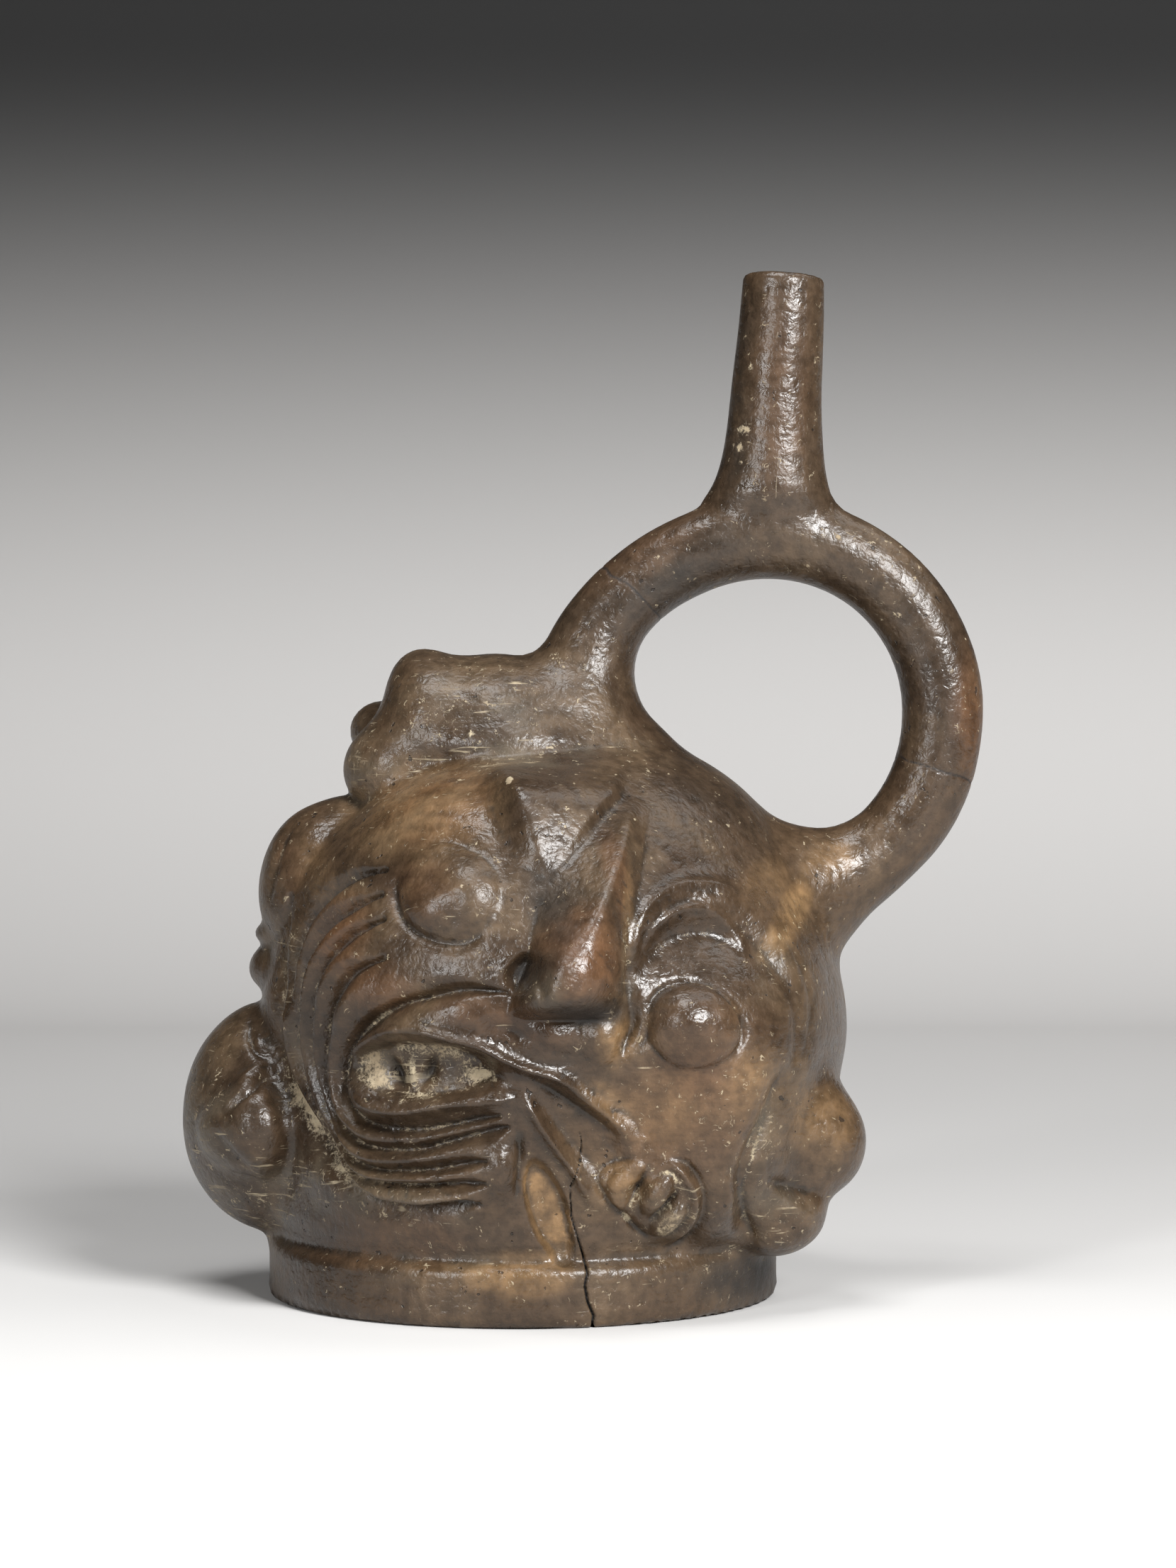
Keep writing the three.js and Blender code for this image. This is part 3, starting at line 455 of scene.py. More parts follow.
def spout_axes(points):
    """Place along the spout's axis, and across it, in its own leaning frame."""
    x = points[..., 0] - STIRRUP_CENTRE[0]
    z = points[..., 2] - STIRRUP_CENTRE[1] - STIRRUP_RADIUS
    along = x * math.sin(SPOUT_LEAN) + z * math.cos(SPOUT_LEAN)
    across = x * math.cos(SPOUT_LEAN) - z * math.sin(SPOUT_LEAN)
    return along, across


def spout(points):
    along, across = spout_axes(points)
    share = np.clip((along - STIRRUP_TUBE_RADIUS) / (SPOUT_HEIGHT - STIRRUP_TUBE_RADIUS), 0, 1)
    cone = mix(SPOUT_BASE_RADIUS, SPOUT_RIM_RADIUS, share ** 0.8)
    above = np.maximum(along - STIRRUP_TUBE_RADIUS + 1, 0)
    wide = cone + SPOUT_FLARE * np.exp(-above / SPOUT_FLARE_FADE)
    deep = mix(STIRRUP_TUBE_RADIUS, cone, smoothstep(along, 0, SPOUT_BASE_RADIUS))
    side = (np.hypot(across / wide, points[..., 1] / deep) - 1) * np.minimum(wide, deep)
    ends = np.maximum(along - SPOUT_HEIGHT, -along)
    return soft_max(side, ends, LIP_ROUNDING)


def bore(points):
    along, across = spout_axes(points)
    side = np.hypot(across, points[..., 1]) - SPOUT_BORE_RADIUS
    return np.maximum(side, SPOUT_HEIGHT - SPOUT_BORE_DEPTH - along)


def vessel(points):
    """Distance to the plain, uncarved vessel: negative in the clay."""
    ring, bowl, hollow = foot(points)
    distance = joined(points, BODY)
    distance = soft_min(distance, joined(points, CAP), CAP_JOIN)
    for lobes in (UPPER_LEFT, LEFT, BUD):
        distance = soft_min(distance, joined(points, lobes), LOBE_JOIN)
    distance = soft_min(distance, joined(points, RIGHT), RIGHT_JOIN)
    distance = soft_min(distance, joined(points, LOW_RIGHT), LOW_JOIN)
    distance = soft_min(distance, bowl, BOWL_JOIN)
    distance = soft_min(distance, ring, FOOT_JOIN)
    distance = soft_max(distance, -hollow, 1)
    distance = np.maximum(distance, -points[..., 2])
    distance = soft_min(distance, stirrup(points), STIRRUP_JOIN)
    distance = soft_min(distance, spout(points), SPOUT_JOIN)
    return soft_max(distance, -bore(points), LIP_ROUNDING)


def gradient(points, field, gap=0.4):
    columns = []
    for axis in range(3):
        step = np.zeros(3)
        step[axis] = gap
        columns.append(field(points + step) - field(points - step))
    return np.stack(columns, axis=-1) / (2 * gap)


def project(points, field):
    for _ in range(PROJECT_STEPS):
        slope = gradient(points, field)
        size = np.maximum((slope ** 2).sum(-1), 0.2)
        move = slope * (field(points) / size)[:, None]
        length = np.linalg.norm(move, axis=1, keepdims=True)
        points = points - move * np.minimum(1, CELL / 2 / np.maximum(length, 1e-9))
    return points


def surface_net(field, low, high, cell):
    """Quads round the zero level of a field, one vertex to a cell that the surface crosses."""
    axes = [np.arange(a, b + cell, cell) for a, b in zip(low, high)]
    values = np.empty([len(a) for a in axes])
    for i, x in enumerate(axes[0]):
        grid = np.stack(np.meshgrid([x], axes[1], axes[2], indexing="ij"), axis=-1)
        values[i] = field(grid)[0]
    inside = values < 0
    shape = tuple(n - 1 for n in values.shape)
    total = np.zeros(shape + (3,))
    count = np.zeros(shape)
    for axis in range(3):
        others = [a for a in range(3) if a != axis]
        for shift in np.ndindex(2, 2):
            start = [slice(0, n) for n in shape]
            end = [slice(0, n) for n in shape]
            end[axis] = slice(1, shape[axis] + 1)
            corner = np.zeros(3)
            for other, move in zip(others, shift):
                start[other] = slice(move, shape[other] + move)
                end[other] = slice(move, shape[other] + move)
                corner[other] = move
            a, b = values[tuple(start)], values[tuple(end)]
            crossed = (a < 0) != (b < 0)
            share = np.where(crossed, a / np.where(crossed, a - b, 1), 0)
            total += crossed[..., None] * corner
            total[..., axis] += crossed * share
            count += crossed
    used = count > 0
    index = np.full(shape, -1)
    index[used] = np.arange(used.sum())
    where = np.argwhere(used)
    points = (where + total[used] / count[used][:, None]) * cell + np.array([a[0] for a in axes])
    quads = []
    for axis in range(3):
        first, second = [(1, 2), (2, 0), (0, 1)][axis]
        core = [slice(1, n) for n in shape]
        core[axis] = slice(0, shape[axis])
        ahead = list(core)
        ahead[axis] = slice(1, shape[axis] + 1)
        a, b = inside[tuple(core)], inside[tuple(ahead)]
        cells = np.argwhere(a != b)
        cells[:, first] += 1
        cells[:, second] += 1
        leaving = a[a != b]
        ring = []
        for back_first, back_second in ((1, 1), (0, 1), (0, 0), (1, 0)):
            at = cells.copy()
            at[:, first] -= back_first
            at[:, second] -= back_second
            ring.append(index[tuple(at.T)])
        ring = np.stack(ring, axis=1)
        ring[~leaving] = ring[~leaving][:, ::-1]
        quads.append(ring)
    return points, np.concatenate(quads)


def refine(points, quads, others, chosen):
    """Splits the chosen quads in four. Their neighbours keep their shape but gain points on the edges
    they share. others are faces that are no longer quads."""
    starts = quads
    ends = np.roll(quads, -1, axis=1)
    key = np.minimum(starts, ends) * len(points) + np.maximum(starts, ends)
    split = np.unique(key[chosen])
    middles = (points[split // len(points)] + points[split % len(points)]) / 2
    found = np.searchsorted(split, key)
    found = np.minimum(found, len(split) - 1)
    has = split[found] == key
    middle = np.where(has, found + len(points), -1)
    centres = points[quads[chosen]].mean(1)
    centre = np.arange(chosen.sum()) + len(points) + len(middles)
    corners, sides = quads[chosen], middle[chosen]
    finer = []
    for i in range(4):
        finer.append(np.stack([corners[:, i], sides[:, i], centre, sides[:, i - 1]], axis=1))
    rest = ~chosen
    touched = rest & has.any(1)
    faces = []
    for face, sides in zip(quads[touched], middle[touched]):
        loop = []
        for corner, side in zip(face, sides):
            loop.append(int(corner))
            if side >= 0:
                loop.append(int(side))
        faces.append(loop)
    lookup = {int(k): i + len(points) for i, k in enumerate(split)} if others else {}
    kept = []
    for face in others:
        loop = []
        for a, b in zip(face, face[1:] + face[:1]):
            loop.append(a)
            side = lookup.get(min(a, b) * len(points) + max(a, b))
            if side is not None:
                loop.append(side)
        kept.append(loop)
    quads = np.concatenate([quads[rest & ~touched]] + finer)
    return np.concatenate([points, middles, centres]), quads, kept + faces


def spline(points, per_span=5):
    """A smooth line through points (Catmull-Rom)."""
    points = np.asarray(points, float)
    padded = np.concatenate([2 * points[:1] - points[1:2], points, 2 * points[-1:] - points[-2:-1]])
    line = []
    for i in range(1, len(padded) - 2):
        a, b, c, d = padded[i - 1:i + 3]
        for t in np.arange(per_span) / per_span:
            line.append(0.5 * (2 * b + (c - a) * t + (2 * a - 5 * b + 4 * c - d) * t ** 2
                               + (3 * b - a - 3 * c + d) * t ** 3))
    line.append(points[-1])
    return np.array(line)


def line_offset(line, seen):
    """Distance of each seen point to a line, how far along it lies, and the line's length."""
    nearest = np.full(len(seen), np.inf)
    along = np.zeros(len(seen))
    lengths = np.linalg.norm(np.diff(line, axis=0), axis=1)
    run = np.concatenate([[0], np.cumsum(lengths)])
    for i in range(len(line) - 1):
        a, step = line[i], line[i + 1] - line[i]
        share = np.clip(((seen - a) @ step) / (step @ step), 0, 1)
        off = np.linalg.norm(seen - a - share[:, None] * step, axis=1)
        closer = off < nearest
        nearest[closer] = off[closer]
        along[closer] = (run[i] + share * lengths[i])[closer]
    return nearest, along, run[-1]


def near_line(points, seen, reach, fades=(7, 7)):
    """The seen points within reach of a line: their numbers, distances and how far the line has faded
    in from its start and its end."""
    line = spline(points)
    box = np.all((seen > line.min(0) - reach) & (seen < line.max(0) + reach), axis=1)
    near = np.nonzero(box)[0]
    off, along, length = line_offset(line, seen[near])
    return near, off, smoothstep(along, -1, fades[0]) * smoothstep(length - along, -1, fades[1])


def seen_from_camera(points):
    nearness = EYE_DISTANCE / (EYE_DISTANCE + points[:, 1])
    up = EYE_HEIGHT + (points[:, 2] - EYE_HEIGHT) * nearness
    return np.stack([points[:, 0] * nearness, up], axis=1)


def patch_measure(seen, middle, half, turn):
    angle = math.radians(turn)
    du, dv = seen[:, 0] - middle[0], seen[:, 1] - middle[1]
    along = du * math.cos(angle) + dv * math.sin(angle)
    across = dv * math.cos(angle) - du * math.sin(angle)
    return np.hypot(along / half[0], across / half[1])


def nose(seen):
    """A wedge that grows from its root to its tip. Both sides fall from the ridge to a crease and its
    underside is cut off level."""
    root, tip = np.array(NOSE_ROOT, float), np.array(NOSE_TIP, float)
    length = np.linalg.norm(tip - root)
    axis = (tip - root) / length
    offset = seen - root
    down = offset @ axis
    left = offset[:, 0] * axis[1] - offset[:, 1] * axis[0]
    share = np.clip(down / length, 0, 1)
    left += NOSE_BEND * np.sin(math.pi * share)
    along = (0, 0.45, 1)
    reach = np.where(left > 0, np.interp(share, along, NOSE_LEFT_REACH),
                     np.interp(share, along, NOSE_RIGHT_REACH))
    rounding = np.interp(share, along, NOSE_ROUNDING)
    aside = np.minimum((np.hypot(left, rounding) - rounding) / reach, 1)
    power = np.where(left > 0, NOSE_HOLLOWING, 1.1)
    section = mix((1 - aside) ** power, (1 - aside ** 2) ** 1.4, share ** 3)
    top = np.interp(share, along, NOSE_TOPS)
    low = NOSE_BOTTOM[1] + NOSE_LIFT * np.maximum(left, 0) ** 2
    sink = np.clip((low - seen[:, 1]) / (NOSE_BOTTOM[1] - NOSE_BOTTOM[0]), 0, 1)
    ends = (1 - sink ** 2) ** 0.8 * smoothstep(down, -NOSE_START, NOSE_START / 2)
    return top * section * ends


def facet(seen):
    """A plane beside the nose's root. It falls from an edge on its left to a crease at the nose."""
    left = np.interp(seen[:, 1], FACET_UPS, FACET_LEFTS)
    right = np.interp(seen[:, 1], FACET_UPS, FACET_RIGHTS)
    height = FACET_SLOPE * np.clip(right - seen[:, 0], 0, right - left)
    height += FACET_LEAN * (seen[:, 1] - FACET_UPS[0]) * smoothstep(right + 2 - seen[:, 0], 0, 4)
    behind = np.exp(-(np.maximum(left - seen[:, 0], 0) / FACET_BACK) ** 2)
    above = 1 - smoothstep(seen[:, 1], *FACET_TOP)
    return height * behind * above * smoothstep(seen[:, 1], FACET_UPS[0] - 1, FACET_UPS[0] + 2)


def carve(points):
    """Height of the carving, and how much pale deposit and ochre lies on it."""
    height = np.zeros(len(points))
    pale = np.zeros(len(points))
    ochre = np.zeros(len(points))
    shown = 1 - smoothstep(points[:, 1], CARVED_TO_Y - CARVING_FADE, CARVED_TO_Y + CARVING_FADE)
    front = np.nonzero(shown > 0)[0]
    seen = seen_from_camera(points[front])
    rise = nose(seen) + facet(seen)
    deposit = np.zeros(len(front))
    yellow = np.zeros(len(front))
    for middle, half, turn, amount, softness in DOMES:
        measure = patch_measure(seen, middle, half, turn)
        rise += amount * np.maximum(1 - measure ** 2, 0) ** softness
    for number, (middle, half, turn, amount, edge, cream, tint) in enumerate(HOLLOWS):
        measure = patch_measure(seen, middle, half, turn)
        form = 1 - smoothstep(measure, 1 - edge / 2, 1 + edge / 2)
        if number == SOCKET:
            form *= smoothstep(seen[:, 1], *SOCKET_FADE)
        rise += amount * form
        deposit += cream * form
        yellow += tint * form
    bank = np.full(len(front), np.inf)
    for line in WHORL:
        near, off, taper = near_line(line, seen, 4 * WHORL_BANK_WIDTH, WHORL_FADES)
        rise[near] += WHORL_DEPTH * taper * np.exp(-(off / WHORL_WIDTH) ** 1.4)
        deposit[near] += WHORL_PALE * taper * np.exp(-(off / WHORL_WIDTH) ** 2)
        bank[near] = np.minimum(bank[near], off / np.maximum(taper, 0.05) ** 0.5)
    rise += WHORL_BANK_DEPTH * np.exp(-(bank / WHORL_BANK_WIDTH) ** 2)
    for line, width, amount, cream in STROKES:
        near, off, taper = near_line(line, seen, 4 * width)
        rise[near] += amount * taper * np.exp(-(off / width) ** 1.5)
        deposit[near] += cream * taper * np.exp(-(off / (0.8 * width)) ** 2)
    height[front] = np.maximum(rise, DEEPEST_CUT) * shown[front]
    pale[front] = deposit * shown[front]
    ochre[front] = yellow * shown[front]
    return height, pale, ochre


def handmade(points):
    """The slow waviness of a surface that was smoothed by hand."""
    x, y, z = points.T
    slow = np.sin(x / 9.1 + 1.3 * np.sin(z / 14)) * np.sin(z / 10.3 + 0.7) * np.sin(y / 11.7 + 2)
    quick = np.sin(x / 3.7 + np.sin(z / 5)) * np.sin(z / 4.3 + np.sin(y / 4)) * np.sin(y / 3.9)
    return 0.3 * slow + 0.08 * quick


def zone(seen, forms):
    total = np.zeros(len(seen))
    for middle, half, turn, share in forms:
        total += share * np.maximum(1 - patch_measure(seen, middle, half, turn) ** 2, 0)
    return total


def grain(points):
    """The way the clay was rubbed: coordinates that are short along the strokes, which run round the
    chamber, along the stirrup and up the spout, and a mask that is 0 where one way meets another."""
    x, y, z = points.T
    round_body = np.stack([x * STROKE_SQUEEZE, y * STROKE_SQUEEZE, z], axis=1)
    across, up = x - STIRRUP_CENTRE[0], z - STIRRUP_CENTRE[1]
    out = np.hypot(across, up)
    along = np.arctan2(up, across)
    tube = np.stack([out, y, along * STIRRUP_RADIUS * STROKE_SQUEEZE], axis=1)
    spout_grain = np.stack([x, y, z * STROKE_SQUEEZE], axis=1)
    body_gap = joined(points, BODY + CAP)
    tube_gap = stirrup(points)
    spout_gap = spout(points)
    chosen = np.where((tube_gap < body_gap)[:, None], tube, round_body)
    chosen = np.where((spout_gap < tube_gap)[:, None], spout_grain, chosen)
    clear = np.minimum(np.abs(tube_gap - np.minimum(body_gap, 30)), np.abs(spout_gap - tube_gap))
    return chosen, smoothstep(clear, 0.3, 5)


def hollowness(mesh, points, normals):
    """How far each point lies in a crease: over 0 in creases, under 0 on ridges, in 1/mm."""
    edges = np.empty(len(mesh.edges) * 2, dtype=np.int64)
    mesh.edges.foreach_get("vertices", edges)
    a, b = edges.reshape(-1, 2).T
    step = points[b] - points[a]
    square = np.maximum((step ** 2).sum(1), 1e-6)
    total = np.zeros(len(points))
    count = np.zeros(len(points))
    for ends, way in ((a, step), (b, -step)):
        np.add.at(total, ends, 2 * (way * normals[ends]).sum(1) / square)
        np.add.at(count, ends, 1)
    bend = total / np.maximum(count, 1)
    for _ in range(SMOOTH_STEPS):
        total = np.zeros(len(points))
        np.add.at(total, a, bend[b])
        np.add.at(total, b, bend[a])
        bend = 0.5 * bend + 0.5 * total / np.maximum(count, 1)
    return bend


def breaks(points):
    """How near each point is to one of the mended breaks round the stirrup's tube: 1 on it."""
    across, up = points[:, 0] - STIRRUP_CENTRE[0], points[:, 2] - STIRRUP_CENTRE[1]
    turn = np.arctan2(up, across)
    nearness = np.zeros(len(points))
    waver = 0.5 * np.sin(points[:, 1] / 3.1) + 0.3 * np.sin(points[:, 1] / 1.3 + up / 2)
    for place in BREAKS:
        off = np.abs((turn - math.radians(place)) * STIRRUP_RADIUS + waver)
        nearness = np.maximum(nearness, np.exp(-(off / BREAK_WIDTH) ** 2))
    return nearness * (stirrup(points) < 1)


def crack(points):
    seen = seen_from_camera(points)
    line = np.array(CRACK, float)
    off = line_offset(line, seen)[0]
    width = np.interp(seen[:, 1], *CRACK_WIDTHS)
    share = np.exp(-(off / width) ** 2) * (points[:, 1] < 0)
    return share * (1 - smoothstep(seen[:, 1], line[0, 1] - 6, line[0, 1]))


def crack_band(centres, reach):
    seen = seen_from_camera(centres)
    off = line_offset(np.array(CRACK, float), seen)[0]
    return (off < reach) & (centres[:, 1] < 0)


def break_band(centres, reach):
    across, up = centres[:, 0] - STIRRUP_CENTRE[0], centres[:, 2] - STIRRUP_CENTRE[1]
    turn = np.arctan2(up, across)
    near = np.zeros(len(centres), dtype=bool)
    for place in BREAKS:
        near |= np.abs(turn - math.radians(place)) * STIRRUP_RADIUS < reach
    return near & (stirrup(centres) < 2) & (np.hypot(across, up) > STIRRUP_RADIUS / 2)


def build_vessel():
    points, quads = surface_net(vessel, BOX_LOW, BOX_HIGH, CELL)
    points = project(points, vessel)
    others = []
    centres = points[quads].mean(1)
    up = centres[:, 2]
    front = (centres[:, 1] < 0) & (stirrup(centres) >= 1)
    chosen = front & (up > FINE_HEIGHTS[0]) & (up < FINE_HEIGHTS[1])
    chosen |= up > LIP_HEIGHT
    chosen |= crack_band(centres, CRACK_REACHES[0])
    chosen |= break_band(centres, BREAK_REACHES[0])
    points, quads, others = refine(points, quads, others, chosen)
    centres = points[quads].mean(1)
    seen = seen_from_camera(centres)
    front = centres[:, 1] < 0
    relief = carve(points)[0][quads]
    chosen = front & (relief.max(1) - relief.min(1) > STEEP)
    chosen |= front & (patch_measure(seen, *SMALL_FACE) < 1)
    chosen |= crack_band(centres, CRACK_REACHES[1])
    chosen |= break_band(centres, BREAK_REACHES[1])
    points, quads, others = refine(points, quads, others, chosen)
    centres = points[quads].mean(1)
    points, quads, others = refine(points, quads, others, crack_band(centres, CRACK_REACHES[2]))
    points = project(points, vessel)
    normals = gradient(points, vessel)
    normals /= np.maximum(np.linalg.norm(normals, axis=1, keepdims=True), 1e-6)
    height, pale, ochre = carve(points)
    height += handmade(points) * smoothstep(points[:, 2], 1, 5)
    broken = breaks(points)
    split = crack(points)
    height += BREAK_DEPTH * broken + CRACK_DEPTH * split
    moved = points + normals * height[:, None]
    moved[:, 2] = np.maximum(moved[:, 2], 0)
    mesh = bpy.data.meshes.new("vessel_skin")
    faces = [tuple(int(i) for i in q) for q in quads] + [tuple(f) for f in others]
    mesh.from_pydata(((moved + MIDDLE_SHIFT) * MM).tolist(), [], faces)
    seen = seen_from_camera(points)
    shown = 1 - smoothstep(points[:, 1], 0, 25)
    masks = {name: zone(seen, forms) * shown for name, forms in ZONES.items()}
    masks["ochre"] += ochre
    crease = smoothstep(hollowness(mesh, moved, normals), *CREASE_BEND)
    masks["pale"] += np.maximum(pale, CREASE_PALE * crease)
    # Painted shade: creases are darkened with the soot colour. The stirrup and spout are also darkened
    # towards their tops.
    masks["soot_and_shade"] += CREASE_SHADE * crease + HANDLE_DARKENING * smoothstep(points[:, 2], *HANDLE_RISE)
    for (u, v), radius in SPOTS:
        near = np.hypot(seen[:, 0] - u, seen[:, 1] - v)
        masks["pale"] += 1.5 * (1 - smoothstep(near, radius - 0.6, radius + 0.6)) * (points[:, 1] < 2)
    along, masks["rubbed"] = grain(points)
    # The dark mask: painted shade from its zones, and the dark lines of the mended breaks and the crack.
    masks["dark"] = np.maximum.reduce([masks["dark"], BREAK_DARK * broken, split])
    for name, values in masks.items():
        layer = mesh.attributes.new(name, "FLOAT", "POINT")
        layer.data.foreach_set("value", np.clip(values, 0, 1).astype(np.float32))
    layer = mesh.attributes.new("grain", "FLOAT_VECTOR", "POINT")
    layer.data.foreach_set("vector", along.astype(np.float32).ravel())
    mesh.shade_smooth()
    mesh.update()
    piece = bpy.data.objects.new("vessel_clay", mesh)
    bpy.context.scene.collection.objects.link(piece)
    return piece


class Net:
    """The nodes of one material, by short calls that give back output sockets."""

    def __init__(self, name):
        self.material = bpy.data.materials.new(name)
        self.material.use_nodes = True
        self.tree = self.material.node_tree
        self.shader = self.tree.nodes["Principled BSDF"]
        self.place = self.tree.nodes.new("ShaderNodeTexCoord").outputs["Object"]

    def add(self, kind, inputs, **settings):
        node = self.tree.nodes.new(kind)
        for key, value in settings.items():
            setattr(node, key, value)
        for key, value in inputs.items():
            if isinstance(value, bpy.types.NodeSocket):
                self.tree.links.new(value, node.inputs[key])
            else:
                node.inputs[key].default_value = value
        return node

    def mask(self, name):
        return self.add("ShaderNodeAttribute", {}, attribute_name=name).outputs["Fac"]

    def vector(self, name):
        return self.add("ShaderNodeAttribute", {}, attribute_name=name).outputs["Vector"]

    def noise(self, size, detail=3, roughness=0.55, vector=None, distortion=0):
        """Noise with features of about this size: metres, or the units of the vector."""
        inputs = {"Vector": vector or self.place, "Scale": 0.5 / size, "Detail": detail,
                  "Roughness": roughness, "Distortion": distortion}
        return self.add("ShaderNodeTexNoise", inputs).outputs["Fac"]

    def ramp(self, value, low, high, start=0, end=1):
        inputs = {"Value": value, "From Min": low, "From Max": high, "To Min": start, "To Max": end}
        return self.add("ShaderNodeMapRange", inputs, interpolation_type="SMOOTHSTEP").outputs["Result"]

    def math(self, operation, *values, **settings):
        inputs = dict(enumerate(values))
        return self.add("ShaderNodeMath", inputs, operation=operation, **settings).outputs[0]

    def sum(self, *terms):
        """Sum of (socket, factor) pairs."""
        total = None
        for socket, factor in terms:
            total = self.math("MULTIPLY_ADD", socket, factor, 0.0 if total is None else total)
        return total

    def times(self, a, b):
        return self.math("MULTIPLY", a, b, use_clamp=True)

    def blend(self, share, a, b, how="MIX"):
        node = self.tree.nodes.new("ShaderNodeMix")
        node.data_type = "RGBA"
        node.blend_type = how
        sockets = {s.identifier: s for s in node.inputs}
        for key, value in (("Factor_Float", share), ("A_Color", a), ("B_Color", b)):
            if isinstance(value, bpy.types.NodeSocket):
                self.tree.links.new(value, sockets[key])
            elif key == "Factor_Float":
                sockets[key].default_value = value
            else:
                sockets[key].default_value = (*value, 1)
        return next(s for s in node.outputs if s.identifier == "Result_Color")


def clay_material():
    net = Net("burnished_clay")
    wide = net.noise(0.045, detail=2)
    cloud = net.noise(0.013, detail=4, distortion=0.6)
    patchy = net.noise(0.006, detail=4, roughness=0.6)
    fine = net.noise(0.0016, detail=3, roughness=0.6)
    strokes = net.noise(1.3, detail=3, roughness=0.6, vector=net.vector("grain"))
    long_strokes = net.noise(3.2, detail=2, vector=net.vector("grain"))

    body = net.blend(net.ramp(wide, 0.35, 0.65), CLAY_DARK, CLAY_MIDDLE)
    body = net.blend(net.ramp(cloud, 0.42, 0.7, 0, 0.6), body, CLAY_LIGHT)
    rust = net.times(net.mask("rust"), net.ramp(cloud, 0.3, 0.6, 0.35, 1))
    body = net.blend(rust, body, CLAY_RUST)
    ochre = net.times(net.mask("ochre"), net.ramp(patchy, 0.3, 0.65, 0.3, 0.85))
    body = net.blend(ochre, body, CLAY_OCHRE)
    # Soot, and painted shade, in the soot colour.
    soot_and_shade = net.times(net.mask("soot_and_shade"), net.ramp(patchy, 0.3, 0.62, 0.25, 0.9))
    body = net.blend(soot_and_shade, body, CLAY_SOOT_AND_SHADE)
    streaky = net.ramp(strokes, 0.3, 0.7, 0.8, 1.2)
    grainy = net.ramp(fine, 0.3, 0.7, 0.5, 1.5)
    shade = net.sum((streaky, 0.5), (grainy, 0.5))
    tone = net.add("ShaderNodeCombineColor", {0: shade, 1: shade, 2: shade}).outputs[0]
    body = net.blend(1.0, body, tone, "MULTIPLY")

    # Dust, with painted light on the left lobe.
    dust_and_painted_light = net.mask("dust_and_painted_light")
    haze_and_painted_light = net.times(dust_and_painted_light, net.ramp(patchy, 0.38, 0.66, 0, 0.4))
    body = net.blend(haze_and_painted_light, body, DUST_AND_PAINTED_LIGHT)
    flake_noise = net.noise(0.0006, detail=5, roughness=0.7, distortion=1.2)
    curl = net.noise(0.0017, detail=2, roughness=0.6, distortion=1.0)
    curl_off = net.math("SUBTRACT", curl, 0.5)
    curl_off = net.math("ABSOLUTE", curl_off)
    scattered = net.noise(0.0014, detail=3, roughness=0.6)
    scratch = net.noise(0.42, detail=2, roughness=0.5, vector=net.vector("grain"), distortion=0.3)
    more = net.sum((dust_and_painted_light, 0.09), (net.ramp(cloud, 0.4, 0.7), 0.05), (net.ramp(wide, 0.35, 0.65), 0.03))
    flakes = net.ramp(net.sum((flake_noise, 1), (more, 1)), 0.685, 0.745)
    often = net.ramp(net.sum((scattered, 1), (more, 1)), 0.64, 0.72)
    hairs = net.times(net.ramp(curl_off, 0.03, 0.012), often)
    scratch = net.times(scratch, net.mask("rubbed"))
    scratches = net.ramp(net.sum((scratch, 1), (more, 0.8), (dust_and_painted_light, 0.09)), 0.75, 0.81)
    pale = net.mask("pale")
    deposit = net.ramp(net.sum((pale, 0.45), (flake_noise, 0.7), (fine, 0.4)), 0.78, 0.95)
    cream = net.math("MAXIMUM", flakes, scratches)
    cream = net.math("MAXIMUM", cream, hairs)
    cream = net.times(cream, net.ramp(scattered, 0.35, 0.65, 0.25, 0.7))
    cream = net.math("MAXIMUM", cream, deposit, use_clamp=True)
    cream_color = net.blend(net.ramp(patchy, 0.35, 0.65), CREAM, CREAM_DARK)
    body = net.blend(net.times(cream, 0.85), body, cream_color)
    pits = net.ramp(net.noise(0.0017, detail=2, roughness=0.7), 0.3, 0.265)
    body = net.blend(net.times(pits, 0.7), body, PIT_AND_SHADE)
    # Painted shade, and the dark break and crack lines, in the pit colour.
    dark = net.mask("dark")
    body = net.blend(net.ramp(dark, 0.15, 0.7), body, PIT_AND_SHADE)
    net.tree.links.new(body, net.shader.inputs["Base Color"])

    dull = net.sum((net.ramp(cloud, 0.3, 0.7), 0.1), (net.ramp(fine, 0.3, 0.7), 0.08), (cream, 0.4),
                   (haze_and_painted_light, 0.25), (dark, 0.4))
    gloss = net.math("ADD", dull, POLISH, use_clamp=True)
    net.tree.links.new(gloss, net.shader.inputs["Roughness"])
    net.shader.inputs["Specular IOR Level"].default_value = SHINE

    rubbed = net.mask("rubbed")
    pebble = net.noise(0.0026, detail=3, roughness=0.55)
    wrinkle = net.noise(0.0008, detail=2, roughness=0.6, distortion=0.5)
    strokes = net.times(strokes, rubbed)
    long_strokes = net.times(long_strokes, rubbed)
    relief = net.sum((strokes, 0.22), (long_strokes, 0.2), (fine, 0.4), (pebble, 0.5), (wrinkle, 0.36),
                     (patchy, 0.4), (cream, 0.12), (pits, -0.4))
    bump = net.add("ShaderNodeBump", {"Strength": 1.0, "Distance": RELIEF_DEPTH, "Height": relief})
    net.tree.links.new(bump.outputs["Normal"], net.shader.inputs["Normal"])
    return net.material


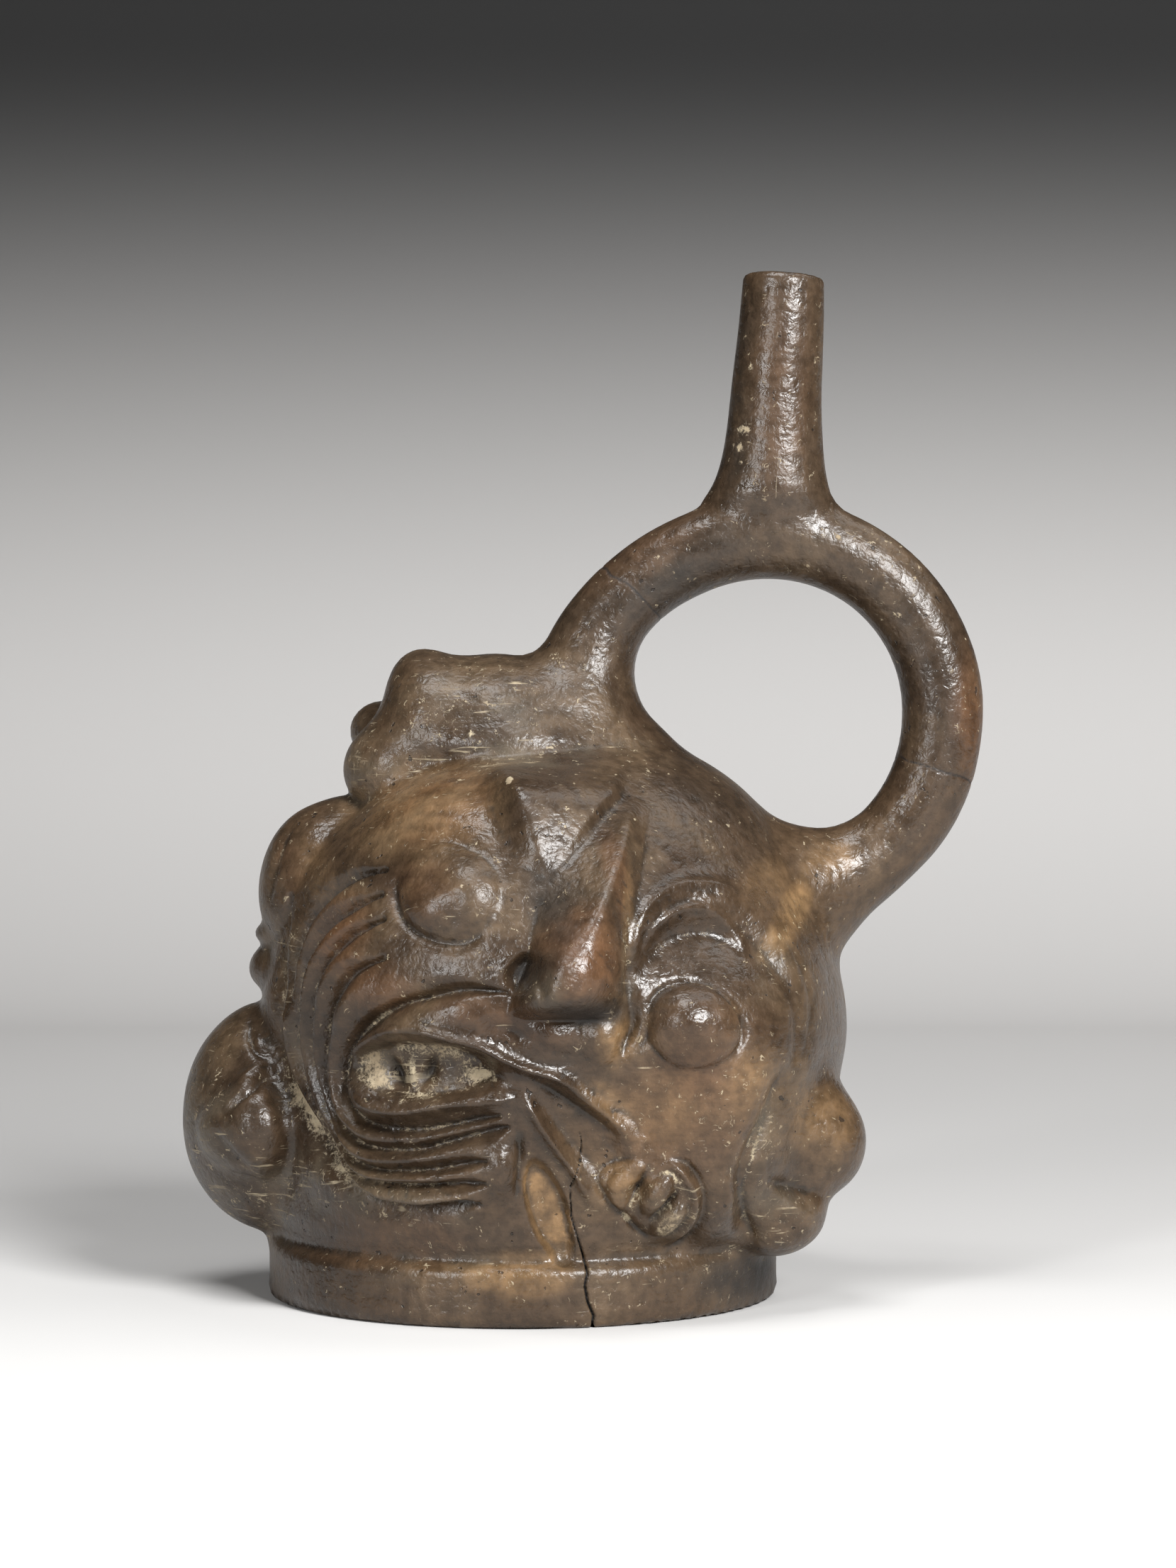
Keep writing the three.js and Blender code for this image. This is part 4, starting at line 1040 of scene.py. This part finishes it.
def backdrop_material():
    """Pale paper with painted shade: darker on the floor behind the vessel, and darker up the wall."""
    net = Net("backdrop")
    parts = net.add("ShaderNodeSeparateXYZ", {0: net.place})
    paper = net.blend(net.ramp(parts.outputs["Y"], -0.14, 0.14), PAPER_NEAR, PAPER_BEHIND_SHADED)
    paper = net.blend(net.ramp(parts.outputs["Y"], 0.3, 1.0), paper, PAPER_FAR)
    paper = net.blend(net.ramp(parts.outputs["Z"], 0.1, 0.62), paper, PAPER_HIGH_SHADED)
    net.tree.links.new(paper, net.shader.inputs["Base Color"])
    net.shader.inputs["Roughness"].default_value = 0.85
    net.shader.inputs["Specular IOR Level"].default_value = 0.1
    return net.material


def aim(thing, target):
    direction = Vector(target) - thing.location
    thing.rotation_euler = direction.to_track_quat("-Z", "Y").to_euler()


def add_light(name, place, target, size, power):
    data = bpy.data.lights.new(name, "AREA")
    data.shape = "RECTANGLE"
    data.size, data.size_y = size
    data.energy = power
    light = bpy.data.objects.new(name, data)
    light.location = place
    bpy.context.scene.collection.objects.link(light)
    aim(light, target)


def add_studio():
    """A pale sweep: level floor, a curve and a wall behind."""
    half_width, front, start, radius, top = 3, -2.4, 0.9, 0.5, 2.6
    curve_steps = 16
    section = [(front, 0.0), (start, 0.0)]
    for step in range(1, curve_steps + 1):
        angle = math.pi / 2 * step / curve_steps
        section.append((start + radius * math.sin(angle), radius - radius * math.cos(angle)))
    section.append((start + radius, top))
    points = [(x, y, z) for y, z in section for x in (-half_width, half_width)]
    faces = [(2 * i, 2 * i + 1, 2 * i + 3, 2 * i + 2) for i in range(len(section) - 1)]
    mesh = bpy.data.meshes.new("backdrop")
    mesh.from_pydata(points, [], faces)
    mesh.shade_smooth()
    backdrop = bpy.data.objects.new("backdrop", mesh)
    mesh.materials.append(backdrop_material())
    bpy.context.scene.collection.objects.link(backdrop)
    middle = (0, 0, 0.11)
    add_light("key", (0.72, -1.15, 0.85), middle, (0.48, 0.48), 43)
    add_light("left", (-0.75, -1.15, 0.5), middle, (0.14, 0.6), 9)
    add_light("top", (-0.1, -0.3, 1.25), middle, (0.5, 0.4), 8)
    add_light("wall", (0.8, 0.3, 1.5), (0.5, 1.4, 0.25), (1.2, 0.6), 7.5)
    world = bpy.data.worlds.new("studio")
    world.use_nodes = True
    background = world.node_tree.nodes["Background"]
    background.inputs["Color"].default_value = (0.8, 0.79, 0.78, 1)
    background.inputs["Strength"].default_value = 0.07
    bpy.context.scene.world = world
    bpy.context.scene.view_settings.view_transform = "Standard"


def add_camera():
    data = bpy.data.cameras.new("camera")
    data.sensor_fit = "VERTICAL"
    data.sensor_height = 36
    data.lens = LENS
    camera = bpy.data.objects.new("camera", data)
    camera.location = Vector((0, -EYE_DISTANCE, EYE_HEIGHT)) * MM + Vector(MIDDLE_SHIFT * MM)
    camera.rotation_euler = (math.pi / 2, 0, 0)
    bpy.context.scene.collection.objects.link(camera)
    bpy.context.scene.camera = camera


add_camera()
clay = build_vessel()
clay.data.materials.append(clay_material())
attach(clay, "root")
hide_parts("vessel")
add_studio()
